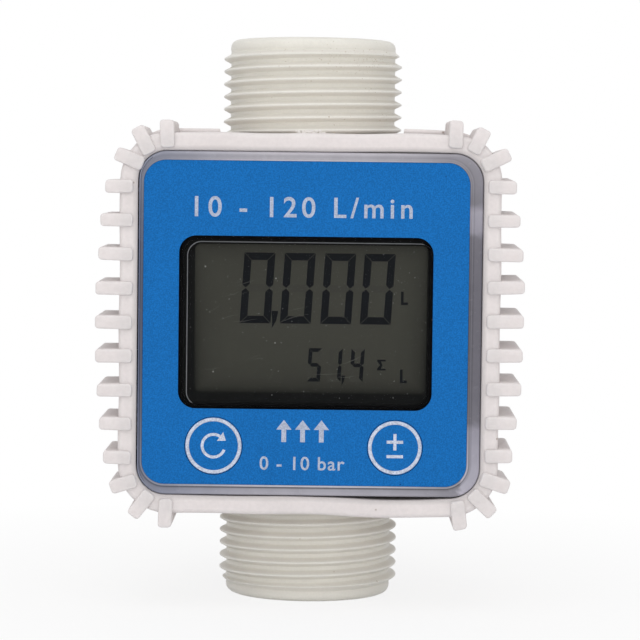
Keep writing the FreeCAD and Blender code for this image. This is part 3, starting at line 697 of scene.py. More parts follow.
# %% [markdown]
# A used moulding carries small marks: crumbs of flash along the boot's top
# edge, and brownish dirt caught near the first turns of the upper thread.
# They could be painted in the material, but real crumbs stand proud and
# catch light. Each is a tiny six-sided fleck, laid on the surface at a
# seeded place.

# %% Flecks
crumb_white = finish("flash_crumb", (240, 236, 232), rough=0.7, cloud=0.05)
dirt_brown = finish("brown_dirt", (168, 146, 122), rough=0.8, cloud=0.12)
marks = random.Random(21)


def fleck(place, across, along, size):
    """A small uneven six-sided plate round a place, spanned by two directions."""
    corners = []
    for k in range(6):
        turn = math.pi / 3 * k + marks.uniform(-0.3, 0.3)
        reach = size * marks.uniform(0.55, 1.0)
        corners.append(tuple(p + reach * (math.cos(turn) * a + math.sin(turn) * b)
                             for p, a, b in zip(place, across, along)))
    return corners


def add_flecks(name, flecks, material):
    points = [corner for corners in flecks for corner in corners]
    faces = [tuple(range(6 * i, 6 * i + 6)) for i in range(len(flecks))]
    print(name + ":", len(flecks))
    return add_piece(name, points, faces, material, smooth=False)


print("fleck finishes:", crumb_white.name, dirt_brown.name)

# %% Crumbs on the boot, dirt in the upper thread
CRUMBS, DIRT_FLECKS = 44, 240
crumbs = []
for k in range(CRUMBS):
    x = marks.gauss(-0.6, 1.5)
    place = (x, LIP_FRONT + marks.uniform(0.9, 1.4), head_z + WALL_OUT + marks.uniform(-0.1, 0.6))
    crumbs.append(fleck(place, (1, 0, 0.2), (0, -0.3, 0.9), marks.uniform(0.14, 0.32)))
add_flecks("flash_crumbs", crumbs, crumb_white)
dirt = []
for k in range(DIRT_FLECKS):
    anywhere = marks.random() < 0.2
    turn = math.radians(min(172, max(8, marks.gauss(118, 30))))
    distance = marks.uniform(2.0, 16.0) if anywhere else abs(marks.gauss(3.2, 1.3)) + 0.3
    z = length - distance
    r = outer_radius(distance, z, turn, FIRST_CREST["high"]) + 0.015
    out_x, out_y = -math.cos(turn), -math.sin(turn)
    dirt.append(fleck((out_x * r, out_y * r, z), (out_y, -out_x, 0), (0.25 * out_x, 0.25 * out_y, 1.0),
                      marks.uniform(0.03, 0.1)))
add_flecks("thread_dirt", dirt, dirt_brown)

# %% [markdown]
# ## The clear lens
# The lens is a clear plate with a shallow recess for the printed face. Over
# the case its border looks grey, with fine bright and dark lines where its
# steps bend the light. Real refraction in a plate this thin is slow to
# render and turns noisy, so the border is a solid ring of stepped loops
# with a tone painted at every point, and only the window is see-through.

# %% Finishes of the lens
HAZE_GAIN = 2.5             # how much rougher the pane is where it is marked


def border_finish(name):
    """A smooth surface that takes its colour from the mesh, with fine streaks and scuffs."""
    material, nodes, links, shader = new_material(name)
    tone = nodes.new("ShaderNodeAttribute")
    tone.attribute_name = "tone"
    place = nodes.new("ShaderNodeTexCoord").outputs["Object"]
    streaks = add_noise(nodes, links, place, 420.0, 2.0)
    streaks = add_ramp(nodes, links, streaks, 0.35, grey(0.93), 0.65, grey(1))
    links.new(add_mix(nodes, links, 1.0, tone.outputs["Color"], streaks, "MULTIPLY"),
              shader.inputs["Base Color"])
    scuffs = add_noise(nodes, links, place, 900.0, 4.0)
    links.new(add_ramp(nodes, links, scuffs, 0.4, grey(0.16), 0.7, grey(0.3)), shader.inputs["Roughness"])
    shader.inputs["Specular IOR Level"].default_value = 0.3
    return material


def clear_finish(name, seen, alpha, rough):
    """A pane that is seen through, with faint marks in its gloss."""
    material, nodes, links, shader = new_material(name)
    place = nodes.new("ShaderNodeTexCoord").outputs["Object"]
    hazes = add_noise(nodes, links, place, 700.0, 5.0)
    links.new(add_ramp(nodes, links, hazes, 0.45, grey(rough), 0.8, grey(rough * HAZE_GAIN)),
              shader.inputs["Roughness"])
    for socket, value in (("Base Color", srgb(*seen)), ("Alpha", alpha), ("Specular IOR Level", 0.05)):
        shader.inputs[socket].default_value = value
    return material


lens_grey = border_finish("lens_border")
window_clear = clear_finish("window_clear", (20, 20, 22), 0.03, 0.08)
print("lens finishes:", lens_grey.name, window_clear.name)

# %% [markdown]
# The tone paints what shows through the clear border, and it differs from
# side to side: painted shade of the case on the left, its pale rim above and
# below, its wall on the right, with two lighter stretches. Each side has a colour,
# each loop has a level for each side, and the tone of a point is their blend, by the way it faces.

# %% Tone of the border
SIDES = {"left": (86, 95, 118), "top": (170, 167, 174), "right": (103, 101, 110), "bottom": (160, 158, 167)}
SIDE_SHARPNESS = 3
PATCHES = ((15.6, 21.4), (-32.0, -17.0))       # lighter stretches of the right side
PATCH_LIFT, PATCH_START, PATCH_END = 0.3, 0.5, 1.2


def side_shares(x, z):
    """How much each side of the border counts at this point."""
    turn = math.atan2(z - head_z, x)
    facing = (-math.cos(turn), math.sin(turn), math.cos(turn), -math.sin(turn))
    shares = [max(0.0, share) ** SIDE_SHARPNESS for share in facing]
    return [share / sum(shares) for share in shares]


def border_tone(x, z, levels):
    """Colour of the border at this point, for a loop's four levels."""
    tone = [0.0, 0.0, 0.0]
    for share, colour, level in zip(side_shares(x, z), SIDES.values(), levels):
        tone = [t + share * level * c for t, c in zip(tone, colour)]
    rise = z - head_z
    if x > label_mid.x + label_half.x - 1.0:
        patch = max(max(0.0, min(1.0, (rise - low) / PATCH_START, (high - rise) / PATCH_END))
                    for low, high in PATCHES)
        tone = [t * (1 + PATCH_LIFT * patch) for t in tone]
    return srgb(*[min(255.0, t) for t in tone])


print("tone at the right:", [round(c, 2) for c in border_tone(lens_half.x, head_z, (1, 1, 1, 1))])

# %% [markdown]
# The loops run from the lens's outer edge over its rounded front to the
# label's edge, and down into the recess. Outer loops follow the lens, and
# inner ones follow the label, which sits a little to the left. Each row of
# the table: what it follows, how far out, y, and the levels of the four
# sides in the order left, top, right, bottom.

# %% Build the border
LABEL_R, LENS_ROUND = 3.9, 25.1
BORDER_BACK = -25.5
# Levels above and below one paint the bright and dark lines where the steps bend the light; DARK paints shade
# on the lens's side and in the recess.
EVEN, DARK = (1.0, 1.0, 1.0, 1.0), (0.6, 0.6, 0.6, 0.6)
LOOPS = [("lens", 30.15, BORDER_BACK, DARK), ("lens", 30.2, -26.8, EVEN),
         ("lens", 30.18, -27.2, (1.1, 1.15, 1.0, 1.05)), ("lens", 30.02, -27.45, (1.12, 1.2, 1.0, 1.1)),
         ("lens", 29.72, lens_front, (1.05, 1.1, 1.0, 1.04)), ("label", 1.0, lens_front, EVEN),
         ("label", 0.9, lens_front, (0.96, 1.0, 0.95, 1.0)),
         ("label", 0.72, lens_front + 0.02, (0.93, 0.97, 0.82, 0.96)),
         ("label", 0.62, lens_front + 0.03, (0.94, 1.0, 1.0, 0.85)),
         ("label", 0.5, lens_front + 0.03, (0.95, 1.0, 1.05, 0.55)),
         ("label", 0.4, lens_front + 0.02, (0.94, 1.0, 0.9, 0.56)),
         ("label", 0.28, lens_front, (0.9, 1.0, 0.86, 1.15)),
         ("label", 0.18, lens_front, (0.9, 1.1, 0.92, 1.25)),
         ("label", 0.08, lens_front, (0.8, 1.15, 0.8, 1.1)),
         ("label", 0.03, lens_front + 0.02, (0.8, 1.0, 0.7, 0.9)),
         ("label", 0.02, lens_front + 0.35, DARK), ("label", -0.6, lens_front + 0.4, DARK),
         ("label", -0.6, BORDER_BACK, DARK)]
border_points, tones = [], []
for follows, size, y, levels in LOOPS:
    if follows == "lens":
        loop = rounded_box(size, size, size - LENS_ROUND, per_side=60, per_corner=12)
    else:
        loop = rounded_box(label_half.x + size, label_half.z + size, LABEL_R + size, label_mid.x, label_mid.z,
                           per_side=60, per_corner=12)
    border_points += [(x, y, z) for x, z in loop]
    tones += [border_tone(x, z, levels) for x, z in loop]
border = add_piece("lens_border", border_points, ring_faces(len(LOOPS), len(border_points) // len(LOOPS), True),
                   lens_grey)
face_outward(border)
tone_layer = border.data.color_attributes.new("tone", "FLOAT_COLOR", "POINT")
tone_layer.data.foreach_set("color", [c for tone in tones for c in tone])
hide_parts("front_lens")
print("lens border:", len(LOOPS), "loops")

# %% [markdown]
# The window pane fills the label's opening. It is a plain plate with the
# window's outline, and almost fully clear, so only its faint gloss is seen.

# %% Window pane
WINDOW_HALF_X, WINDOW_HALF_Z, WINDOW_R = 22.6, 15.5, 3.3
PANE_FRONT, PANE_BACK = label_front + 0.32, -25.45
pane_outline = rounded_box(WINDOW_HALF_X, WINDOW_HALF_Z, WINDOW_R, label_mid.x, glass_mid.z, per_corner=14)
add_plates("window_pane", [pane_outline], PANE_FRONT, PANE_BACK - PANE_FRONT, window_clear)
print(f"pane: {2 * WINDOW_HALF_X:.1f} by {2 * WINDOW_HALF_Z:.1f} mm")

# %% [markdown]
# ## The display
# Behind the window is a black mask with a fine raised line round it, light
# grey from a painted highlight on its edge, then the glass of the display, dark
# olive while the cells are fresh. Specks of dust lie between them, so the mask
# and the field have a few in their finish. Bars that are off can be seen very faintly, as on a real display.

# %% Finishes of the display
mask_black = finish("mask_black", (13, 13, 14), rough=0.35, cloud=0.05, bump=0.004, specular=0.04,
                    specks=(430.0, 0.05, (92, 92, 92)))
glass_edge = finish("display_glass", (20, 21, 21), rough=0.3, cloud=0.05, bump=0.003, specular=0.05)
field_olive = finish("display_field", (66, 66, 60), rough=0.45, cloud=0.035, cloud_size=60.0, grain=0.03,
                     bump=0.003, specular=0.05, shade_name="fade", shade_seen=(24, 25, 24),
                     specks=(430.0, 0.05, (140, 140, 136)))
bar_dark = finish("bar_dark", (22, 24, 27), rough=0.4, cloud=0.04, bump=0.002, specular=0.05)
bar_off = finish("bar_off", (63, 63, 58), rough=0.4, bump=0.002, specular=0.05)
# The line's light grey is a painted highlight on the raised edge round the mask.
mask_line_highlight = finish("mask_line", (128, 130, 133), rough=0.3, cloud=0.1, bump=0.004, specular=0.2)
print("display finishes:", mask_black.name, glass_edge.name, field_olive.name, bar_dark.name, bar_off.name,
      mask_line_highlight.name)

# %% [markdown]
# The field is darker towards its edges, where the mask stands over it and
# keeps the light out. It is a plate of loops, each further in than the last
# and each with its own share of that dark, painted as `fade`.

# %% The field
FIELD_LEFT, FIELD_RIGHT, FIELD_LOW, FIELD_HIGH = -20.3, 20.7, -12.4, 13.9
FIELD_FRONT = lcd_front - 0.04
FADES = [(0.0, lcd_front + 0.02, 0.8), (0.0, FIELD_FRONT, 0.75), (0.4, FIELD_FRONT, 0.5),
         (1.2, FIELD_FRONT, 0.28), (3.0, FIELD_FRONT, 0.1), (6.0, FIELD_FRONT, 0.0)]
field_mid = ((FIELD_LEFT + FIELD_RIGHT) / 2, head_z + (FIELD_LOW + FIELD_HIGH) / 2)
field_half = ((FIELD_RIGHT - FIELD_LEFT) / 2, (FIELD_HIGH - FIELD_LOW) / 2)
field_points, fades = [], []
for inset, y, fade in FADES:
    for x, z in rounded_box(field_half[0] - inset, field_half[1] - inset, max(0.3, 1.0 - inset), *field_mid,
                            per_side=6):
        field_points.append((x, y, z))
        # The painted fade also grows towards the bottom of the field.
        low_down = (field_mid[1] - z) / field_half[1]
        fades.append(fade * (1.0 + 0.35 * low_down) + 0.06 * low_down)
loop_count = len(field_points) // len(FADES)
field_faces = ring_faces(len(FADES), loop_count)
field_faces += [tuple(range(loop_count)), tuple(range((len(FADES) - 1) * loop_count, len(field_points)))]
field = add_piece("display_field", field_points, field_faces, field_olive, smooth=False)
face_outward(field)
paint_points(field, "fade", fades)
print("display field:", len(field_points), "points")

# %% [markdown]
# A raised line with a round top runs round the mask, and the keys have the
# same as their silver rings. One helper carries a small profile round.

# %% The line round the mask


def add_line(name, half_x, half_z, radius, mid_x, mid_z, width, front_y, height, material,
             body="meter", per_side=2, per_corner=16):
    """A raised line that follows a rounded rectangle, with a round top."""
    profile = [(0.0, 0.0), (0.12, 0.75), (0.3, 1.0), (0.7, 1.0), (0.88, 0.75), (1.0, 0.0), (0.5, -0.6)]
    points = []
    for across, lift in profile:
        grow = (across - 0.5) * width
        points += [(x, front_y - lift * height, z) for x, z in
                   rounded_box(half_x + grow, half_z + grow, radius + grow, mid_x, mid_z, per_side, per_corner)]
    piece = add_piece(name, points, ring_faces(len(profile), len(points) // len(profile), True), material,
                      body)
    face_outward(piece)
    return piece


mask_line = add_line("mask_line", 21.7, 14.5, 2.5, 0.1, head_z - 0.2, 0.16, -25.38, 0.02, mask_line_highlight)
print("mask line:", len(mask_line.data.vertices), "points")

# %% [markdown]
# The figures are bars of the usual seven-segment shape, leaning a little.
# Bar a is on top, b and c are on the right, d is below, e and f are on the
# left, and g is the middle. They are mitred where they meet at a corner and
# pointed where they meet at the middle.

# %% Seven-segment figures
SLANT = math.tan(math.radians(3.5))
GAP_SHARE = 0.045
SEGMENTS = {"0": "abcdef", "1": "bc", "4": "bcfg", "5": "acdfg"}


def figure_bars(left, low, width, height, stroke):
    """Outlines of all seven bars of a figure, by letter."""
    gap, half = GAP_SHARE * stroke, stroke / 2
    x0, x1, z0, z1, mid = left, left + width, low, low + height, low + height / 2
    bars = {"g": [(x0 + half + gap, mid), (x0 + stroke + gap, mid - half), (x1 - stroke - gap, mid - half),
                  (x1 - half - gap, mid), (x1 - stroke - gap, mid + half), (x0 + stroke + gap, mid + half)]}
    for letter, edge, inward in (("a", z1, -stroke), ("d", z0, stroke)):
        bars[letter] = [(x0 + gap, edge), (x1 - gap, edge), (x1 - stroke - gap, edge + inward),
                        (x0 + stroke + gap, edge + inward)]
    for letter, edge, inward, end, up in (("f", x0, 1, z1, -1), ("b", x1, -1, z1, -1),
                                          ("e", x0, 1, z0, 1), ("c", x1, -1, z0, 1)):
        bars[letter] = [(edge, end + up * gap), (edge + inward * stroke, end + up * (stroke + gap)),
                        (edge + inward * stroke, mid - up * (half + gap)),
                        (edge + inward * half, mid - up * gap), (edge, mid - up * (half * 0.8 + gap))]
    return {letter: [(x + (z - low) * SLANT, z) for x, z in bar] for letter, bar in bars.items()}


# Each row: its figures with their left edges, then the row's foot, height, width and stroke.
ROWS = [([("0", -12.36), ("0", -5.26), ("0", 1.86), ("0", 8.83)], 0.0, 12.45, 5.45, 1.3),
        ([("5", -0.42), ("1", 3.2), ("4", 7.1)], -10.2, 5.9, 2.35, 0.66)]
on, off = [], []
for figures, low, height, width, stroke in ROWS:
    for figure, left in figures:
        for letter, outline in figure_bars(left, head_z + low, width, height, stroke).items():
            (on if letter in SEGMENTS[figure] else off).append(outline)
print("display bars:", len(on), "on,", len(off), "off")

# %% [markdown]
# Beside the figures stand the unit, a capital L for litres, the decimal
# commas, and a sum sign for the running total. Each is one outline.

# %% Unit, commas and sum sign


def letter_l(left, low, width, height, stroke):
    z = head_z + low
    return [(left, z), (left + width, z), (left + width, z + stroke), (left + stroke, z + stroke),
            (left + stroke, z + height), (left, z + height)]


def comma(x, low, size, height):
    z = head_z + low
    return [(x - size * 0.3, z), (x + size * 0.25, z + height * 0.45), (x + size * 0.5, z + height),
            (x - size * 0.35, z + height), (x - size * 0.25, z + height * 0.5)]


def sum_sign(left, low, width, height, stroke):
    z = head_z + low
    return [(left, z), (left + width, z), (left + width, z + stroke), (left + stroke * 2.2, z + stroke),
            (left + width * 0.62, z + height / 2), (left + stroke * 2.2, z + height - stroke),
            (left + width, z + height - stroke), (left + width, z + height), (left, z + height),
            (left, z + height - stroke), (left + width * 0.62 - stroke * 1.4, z + height / 2),
            (left, z + stroke)]


on += [letter_l(16.05, 3.5, 1.25, 2.35, 0.46), letter_l(16.05, -10.3, 1.22, 2.4, 0.46)]
on += [comma(-6.25, -0.9, 1.45, 3.1), comma(5.98, -10.9, 0.78, 1.8), sum_sign(12.0, -8.1, 1.5, 1.9, 0.3)]
add_plates("figures_on", on, lcd_front - 0.07, 0.025, bar_dark)
add_plates("figures_off", off, lcd_front - 0.055, 0.012, bar_off)
print("plates on the display:", len(on) + len(off))

# %% [markdown]
# The window of a used meter is never clean. Dust lies behind it, and fine
# hairlines cross it, mostly one way, from being wiped. They are laid just
# in front of the figures, as thin as they can be.

# %% Dust and hairlines
DUST_FLECKS, HAIRLINES = 110, 16
dust_grey = finish("window_dust", (120, 121, 120), rough=0.8, cloud=0.1)
scratch_grey = finish("window_scratch", (82, 81, 76), rough=0.6, cloud=0.1)
dust = [fleck((marks.uniform(-21.0, 21.0), lcd_front - 0.09, head_z + marks.uniform(-14.0, 13.5)),
              (1, 0, 0), (0, 0, 1), marks.uniform(0.05, 0.12)) for k in range(DUST_FLECKS)]
add_flecks("window_dust", dust, dust_grey)
hairlines = []
for k in range(HAIRLINES):
    x, z = marks.uniform(-20.0, 6.0), head_z + marks.uniform(-11.5, 9.0)
    turn, long, thin = math.radians(marks.gauss(24, 16)), marks.uniform(2.0, 6.5), marks.uniform(0.02, 0.045)
    dx, dz = long * math.cos(turn), long * math.sin(turn)
    bow = marks.uniform(-0.3, 0.3)
    hairlines.append([(x, z), (x + dx / 2, z + dz / 2 + bow), (x + dx, z + dz),
                      (x + dx / 2, z + dz / 2 + bow + 2 * thin)])
add_plates("window_scratches", hairlines, lcd_front - 0.085, 0.006, scratch_grey)
print("hairlines:", len(hairlines))

# %% [markdown]
# ## The printed face
# The face is a satin film, blue with a fine speckle from the screen it was
# printed through. The ink is a pale silver. It carries only what any meter
# of this size could say: its flow range, its pressure range, and arrows
# that show which way the liquid runs.

# %% Film and ink
film_blue = finish("film_blue", (27, 114, 191), rough=0.45, cloud=0.025, cloud_size=90.0, grain=0.3,
                   bump=0.012, specular=0.06, specks=(260.0, 0.03, (18, 66, 118)))
ink_silver = finish("ink_silver", (184, 193, 214), rough=0.45, cloud=0.08, cloud_size=900.0, grain=0.26,
                    grain_size=4200.0, bump=0.006, specular=0.15)
ring_silver = finish("ring_silver", (208, 215, 233), rough=0.35, cloud=0.12, cloud_size=1300.0, grain=0.3,
                     grain_size=3600.0, bump=0.01, specular=0.3)
print("face finishes:", film_blue.name, ink_silver.name, ring_silver.name)

# %% [markdown]
# Words start as a text curve, which is turned into a mesh, centred, and
# stood up on the face. Ink spreads a little as it is printed, so the curve
# is grown by a small share of the letters' size.

# %% Print the words
INK_SPREAD = 0.012
INK_HEIGHT = 0.006


def print_words(name, words, x, rise, size, wide):
    """Raised ink: words centred at x and this far above the head's centre."""
    curve = bpy.data.curves.new(name, "FONT")
    curve.body = words
    curve.align_x, curve.align_y = "CENTER", "CENTER"
    curve.size = size * MM
    curve.extrude = INK_HEIGHT * MM
    curve.offset = INK_SPREAD * size * MM
    curve.space_character = wide
    made = put_in_scene(name + "_curve", curve)
    bpy.context.view_layer.update()
    mesh = bpy.data.meshes.new_from_object(made.evaluated_get(bpy.context.evaluated_depsgraph_get()))
    bpy.data.objects.remove(made)
    middle, level = [(min(places) + max(places)) / 2
                     for places in ([v.co[i] for v in mesh.vertices] for i in (0, 1))]
    mesh.transform(Matrix.Translation((-middle, -level, 0)))
    stand = Matrix.Translation((x * MM, label_front * MM, (head_z + rise) * MM))
    mesh.transform(stand @ Matrix.Rotation(math.pi / 2, 4, "X"))
    mesh.materials.clear()
    mesh.materials.append(ink_silver)
    piece = put_in_scene(name, mesh)
    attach(piece, "meter")
    print(name + ":", len(mesh.vertices), "points")


print_words("flow_range", "10 - 120 L/min", -1.25, 20.5, 5.0, 1.3)
print_words("pressure_range", "0 - 10 bar", -1.05, -24.5, 3.3, 1.12)

# %% [markdown]
# Three arrows point along the flow. They are small plates of the same ink.

# %% Flow arrows
ARROW_X, ARROW_RISE, ARROW_PITCH = -1.0, -18.85, 3.3
arrow = [(-0.42, -1.9), (0.42, -1.9), (0.42, 0.3), (1.35, 0.3), (0.0, 2.0), (-1.35, 0.3), (-0.42, 0.3)]
arrows = [[(ARROW_X + step * ARROW_PITCH + x, head_z + ARROW_RISE + z) for x, z in arrow]
          for step in (-1, 0, 1)]
add_plates("flow_arrows", arrows, label_front - 0.006, 0.008, ink_silver)
print("arrows:", len(arrows))

# %% [markdown]
# ## The keys
# Each key is a disc of the same film with a raised silver ring and a sign:
# an arrow that turns back for reset, and a plus over a minus for
# calibration. They ride on the key's own body, so they sink with it.

# %% Outlines of the signs
TURN_R, TURN_WIDTH, TURN_FROM, TURN_TO, BAND_STEPS = 2.0, 0.5, 55, 340, 36
HEAD_HALF, HEAD_LONG = 0.95, 1.25
BAR_HALF, BAR_THIN, STUB_HALF = 1.45, 0.27, 0.59


def turning_arrow(mid_x, mid_z):
    """A band along part of a circle, and the arrow's head at its start."""
    outer, inner = [arc(mid_x, mid_z, TURN_R + half, TURN_FROM, TURN_TO, BAND_STEPS)
                    for half in (TURN_WIDTH / 2, -TURN_WIDTH / 2)]
    cos, sin = math.cos(math.radians(TURN_FROM)), math.sin(math.radians(TURN_FROM))
    tip_x, tip_z = mid_x + TURN_R * cos, mid_z + TURN_R * sin
    head = [(tip_x + HEAD_HALF * cos, tip_z + HEAD_HALF * sin),
            (tip_x - HEAD_HALF * cos, tip_z - HEAD_HALF * sin),
            (tip_x + HEAD_LONG * sin, tip_z - HEAD_LONG * cos)]
    return [outer + inner[::-1], head]


def plus_minus(mid_x, mid_z):
    """Four bars: the plus is one long bar with a stub above and below it."""
    bars = [(1.0, BAR_HALF, BAR_THIN), (1.86, BAR_THIN, STUB_HALF), (0.14, BAR_THIN, STUB_HALF),
            (-1.55, BAR_HALF, BAR_THIN)]
    return [[(mid_x - half_x, mid_z + up - half_z), (mid_x + half_x, mid_z + up - half_z),
             (mid_x + half_x, mid_z + up + half_z), (mid_x - half_x, mid_z + up + half_z)]
            for up, half_x, half_z in bars]


print("outlines in the signs:", len(turning_arrow(0, 0)), "and", len(plus_minus(0, 0)))

# %% Rings and signs
RING_WIDTH, RING_HEIGHT = 0.66, 0.05
for key, ring_r, outlines in (("reset", 4.62, turning_arrow), ("calibrate", 4.4, plus_minus)):
    top, top_half = span(key + "_button")
    add_line(key + "_ring", ring_r, ring_r, ring_r - 0.001, top.x, top.z, RING_WIDTH, label_front + 0.004,
             RING_HEIGHT, ring_silver, key + "_key", per_side=1, per_corner=24)
    add_plates(key + "_sign", outlines(top.x, top.z), label_front - 0.007, 0.009, ring_silver,
               key + "_key")
    print(f"{key} key: {2 * top_half.x:.1f} mm across, ring radius {ring_r} mm")

# %% [markdown]
# ## Everything that stays as the frame made it
# The inner pieces show through the ports, round the rear cover, or when
# the meter is taken apart. Each slot of the record gets one finish here,
# and every node that has that slot wears it.

# %% Finishes by slot
finishes = {
    "body_plastic": body_white, "boot_rubber": boot_white, "label_film": film_blue,
    "key_film": film_blue, "black_film": mask_black, "lcd": glass_edge,
    "case_plastic": finish("case_plastic", (228, 225, 220), rough=0.45, cloud=0.02),
    "board": finish("solder_mask", (28, 104, 62), rough=0.3, cloud=0.06, grain=0.1, grain_size=900.0,
                    specular=0.4),
    "chip": finish("chip_epoxy", (38, 38, 40), rough=0.55, cloud=0.05, grain=0.1, grain_size=9000.0),
    "components": finish("component_ceramic", (178, 160, 128), rough=0.4, cloud=0.08),
    "switch": finish("switch_black", (44, 44, 46), rough=0.45, cloud=0.05),
    "contact_rubber": finish("zebra_rubber", (70, 70, 74), rough=0.75, cloud=0.06, grain=0.15,
                             grain_size=1800.0),
    "seal_rubber": finish("seal_rubber", (34, 34, 36), rough=0.7, cloud=0.08, grain=0.06, bump=0.03),
    "screw_steel": finish("screw_zinc", (196, 198, 202), rough=0.32, cloud=0.08, grain=0.1, metal=1.0,
                          bump=0.01),
    "flow_plastic": finish("flow_acetal", (58, 60, 64), rough=0.4, cloud=0.05, grain=0.05),
    "rotor_plastic": finish("rotor_acetal", (224, 224, 218), rough=0.35),
    "bearing": finish("bearing_ruby", (168, 46, 58), rough=0.15, cloud=0.06, bump=0.004, coat=0.4),
    "steel": finish("spring_steel", (190, 192, 196), rough=0.25, cloud=0.06, grain=0.08, metal=1.0,
                    bump=0.008),
    "magnet": finish("magnet_nickel", (176, 176, 178), rough=0.2, cloud=0.05, metal=1.0, bump=0.006),
    "sensor": finish("reed_capsule", (96, 128, 108), rough=0.1, cloud=0.06, bump=0.003, coat=0.5),
    "battery": finish("cell_jacket", (60, 74, 96), rough=0.25, cloud=0.05, grain=0.04, coat=0.3,
                      bump=0.006),
    "contact": finish("contact_nickel", (200, 198, 190), rough=0.25, cloud=0.08, metal=1.0, bump=0.01),
}
dressed = 0
for entry in frame["record"]["subparts"]:
    node, slot_name = entry["node"], entry["material_slot"]
    if slot_name in finishes and node in NODES:
        data = NODES[node].data
        data.materials.clear()
        data.materials.append(finishes[slot_name])
        dressed += 1
print("nodes with a finish:", dressed)

# %% [markdown]
# ## Camera, light and floor
# The camera looks from far off through a long lens, nearly straight at the
# face and a little from above, with a slight roll. Its axes are worked out
# from the three angles: where it looks, what is to its right, what is up.

# %% Camera
CAMERA_PLACE = (2.15, -482.39, 74.55)
PITCH_DOWN, YAW, ROLL = math.radians(2.861), math.radians(-0.041), math.radians(0.684)
camera_data = bpy.data.cameras.new("camera")
camera = put_in_scene("camera", camera_data)
camera_data.lens = 146.13
camera_data.sensor_width = 36.0
camera_data.clip_start = 0.01
ahead = Vector((math.sin(YAW) * math.cos(PITCH_DOWN), math.cos(YAW) * math.cos(PITCH_DOWN),
                -math.sin(PITCH_DOWN)))
right = Vector((math.cos(YAW), -math.sin(YAW), 0))
up = right.cross(ahead)
right_rolled = math.cos(ROLL) * right + math.sin(ROLL) * up
up_rolled = -math.sin(ROLL) * right + math.cos(ROLL) * up
turned = Matrix((right_rolled, up_rolled, -ahead)).transposed().to_4x4()
camera.matrix_world = Matrix.Translation(Vector(CAMERA_PLACE) * MM) @ turned
bpy.context.scene.camera = camera
bpy.context.scene.view_settings.view_transform = "Standard"
print("camera lens:", camera_data.lens, "mm")

# %% [markdown]
# Two large soft lamps light the meter: one above and in front, which models
# the ribs and threads, and one low and frontal, which fills their shadows.
# The front one makes no highlight, or the window would show it as a square.

# %% Lamps


def soft_lamp(name, place, size, power):
    """A rectangular lamp that is aimed at the lower half of the meter, in metres."""
    lamp_data = bpy.data.lights.new(name, "AREA")
    lamp_data.shape = "RECTANGLE"
    lamp_data.size, lamp_data.size_y = size
    lamp_data.energy = power
    lamp = put_in_scene(name, lamp_data)
    lamp.location = place
    lamp.rotation_euler = (Vector((0, 0, 0.05)) - Vector(place)).to_track_quat("-Z", "Y").to_euler()
    print(name + ":", power, "W")
    return lamp


soft_lamp("overhead_softbox", (-0.12, -0.55, 1.05), (0.9, 0.7), 2.7)
front_lamp = soft_lamp("front_softbox", (0.05, -1.3, 0.20), (0.7, 0.7), 6.2)
front_lamp.visible_glossy = False

# %% [markdown]
# The room is a soft, plain white. Rays that come straight from the camera,
# or by way of a shiny or clear surface, should meet a brighter white than
# the one that lights the meter. Light Path tells these rays apart, and the
# floor uses the same helper.

# %% Room
ROOM_STRENGTH = 0.58


def background_seen(nodes, links):
    """1 for the rays that should meet the white background: camera, glossy and see-through rays."""
    path = nodes.new("ShaderNodeLightPath")
    seen = path.outputs["Is Camera Ray"]
    for ray in ("Is Glossy Ray", "Is Transmission Ray"):
        either = nodes.new("ShaderNodeMath")
        either.operation = "MAXIMUM"
        links.new(seen, either.inputs[0])
        links.new(path.outputs[ray], either.inputs[1])
        seen = either.outputs[0]
    return seen


def choose_shader(nodes, links, factor, first, second, target):
    """Mix two shaders by a factor and send the result to the output node."""
    choose = nodes.new("ShaderNodeMixShader")
    for socket, output in zip(choose.inputs, (factor, first.outputs[0], second.outputs[0])):
        links.new(output, socket)
    links.new(choose.outputs[0], nodes[target].inputs["Surface"])


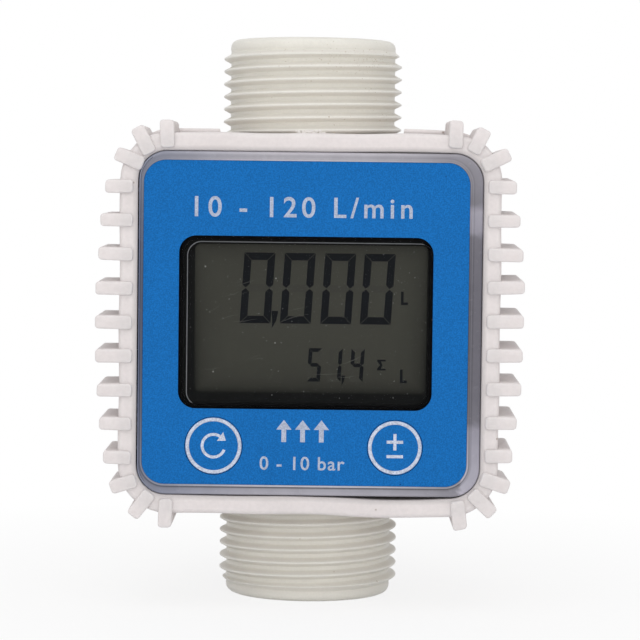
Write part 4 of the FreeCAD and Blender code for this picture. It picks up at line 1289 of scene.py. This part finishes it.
world = bpy.data.worlds.new("studio")
bpy.context.scene.world = world
world.use_nodes = True
sky_nodes, sky_links = world.node_tree.nodes, world.node_tree.links
room, white = sky_nodes["Background"], sky_nodes.new("ShaderNodeBackground")
for background, strength in ((room, ROOM_STRENGTH), (white, 1.0)):
    background.inputs["Color"].default_value = (1.0, 1.0, 1.0, 1.0)
    background.inputs["Strength"].default_value = strength
choose_shader(sky_nodes, sky_links, background_seen(sky_nodes, sky_links), room, white, "World Output")
print("room strength:", ROOM_STRENGTH)

# %% [markdown]
# The floor is a pale sheet. Near the meter it is mostly a real surface, so
# that the soft shadow stays. Further off it fades into the white of the
# room, and no edge or horizon is seen.

# %% Floor
FLOOR_HALF = 1.6                             # metres, as are the distances below
FADE = {"From Min": 0.03, "From Max": 0.14, "To Min": 0.82, "To Max": 1.0}
floor_mesh = bpy.data.meshes.new("floor")
floor_mesh.from_pydata([(x * FLOOR_HALF, y * FLOOR_HALF, 0) for x, y in ((-1, -1), (1, -1), (1, 1), (-1, 1))],
                       [], [(0, 1, 2, 3)])
floor = put_in_scene("floor", floor_mesh)
floor_white, floor_nodes, floor_links, floor_shader = new_material("floor_white")
floor_shader.inputs["Base Color"].default_value = (0.9, 0.9, 0.9, 1)
floor_shader.inputs["Roughness"].default_value = 0.8
glow = floor_nodes.new("ShaderNodeEmission")
glow.inputs["Color"].default_value = (1, 1, 1, 1)
glow.inputs["Strength"].default_value = 1.0
away = floor_nodes.new("ShaderNodeVectorMath")
away.operation = "LENGTH"
fade_out = floor_nodes.new("ShaderNodeMapRange")
for socket, value in FADE.items():
    fade_out.inputs[socket].default_value = value
share = floor_nodes.new("ShaderNodeMath")
share.operation = "MULTIPLY"
floor_links.new(floor_nodes.new("ShaderNodeTexCoord").outputs["Object"], away.inputs[0])
floor_links.new(away.outputs["Value"], fade_out.inputs["Value"])
floor_links.new(background_seen(floor_nodes, floor_links), share.inputs[0])
floor_links.new(fade_out.outputs["Result"], share.inputs[1])
choose_shader(floor_nodes, floor_links, share.outputs[0], floor_shader, glow, "Material Output")
floor_mesh.materials.append(floor_white)
print("floor:", 2 * FLOOR_HALF, "m across")
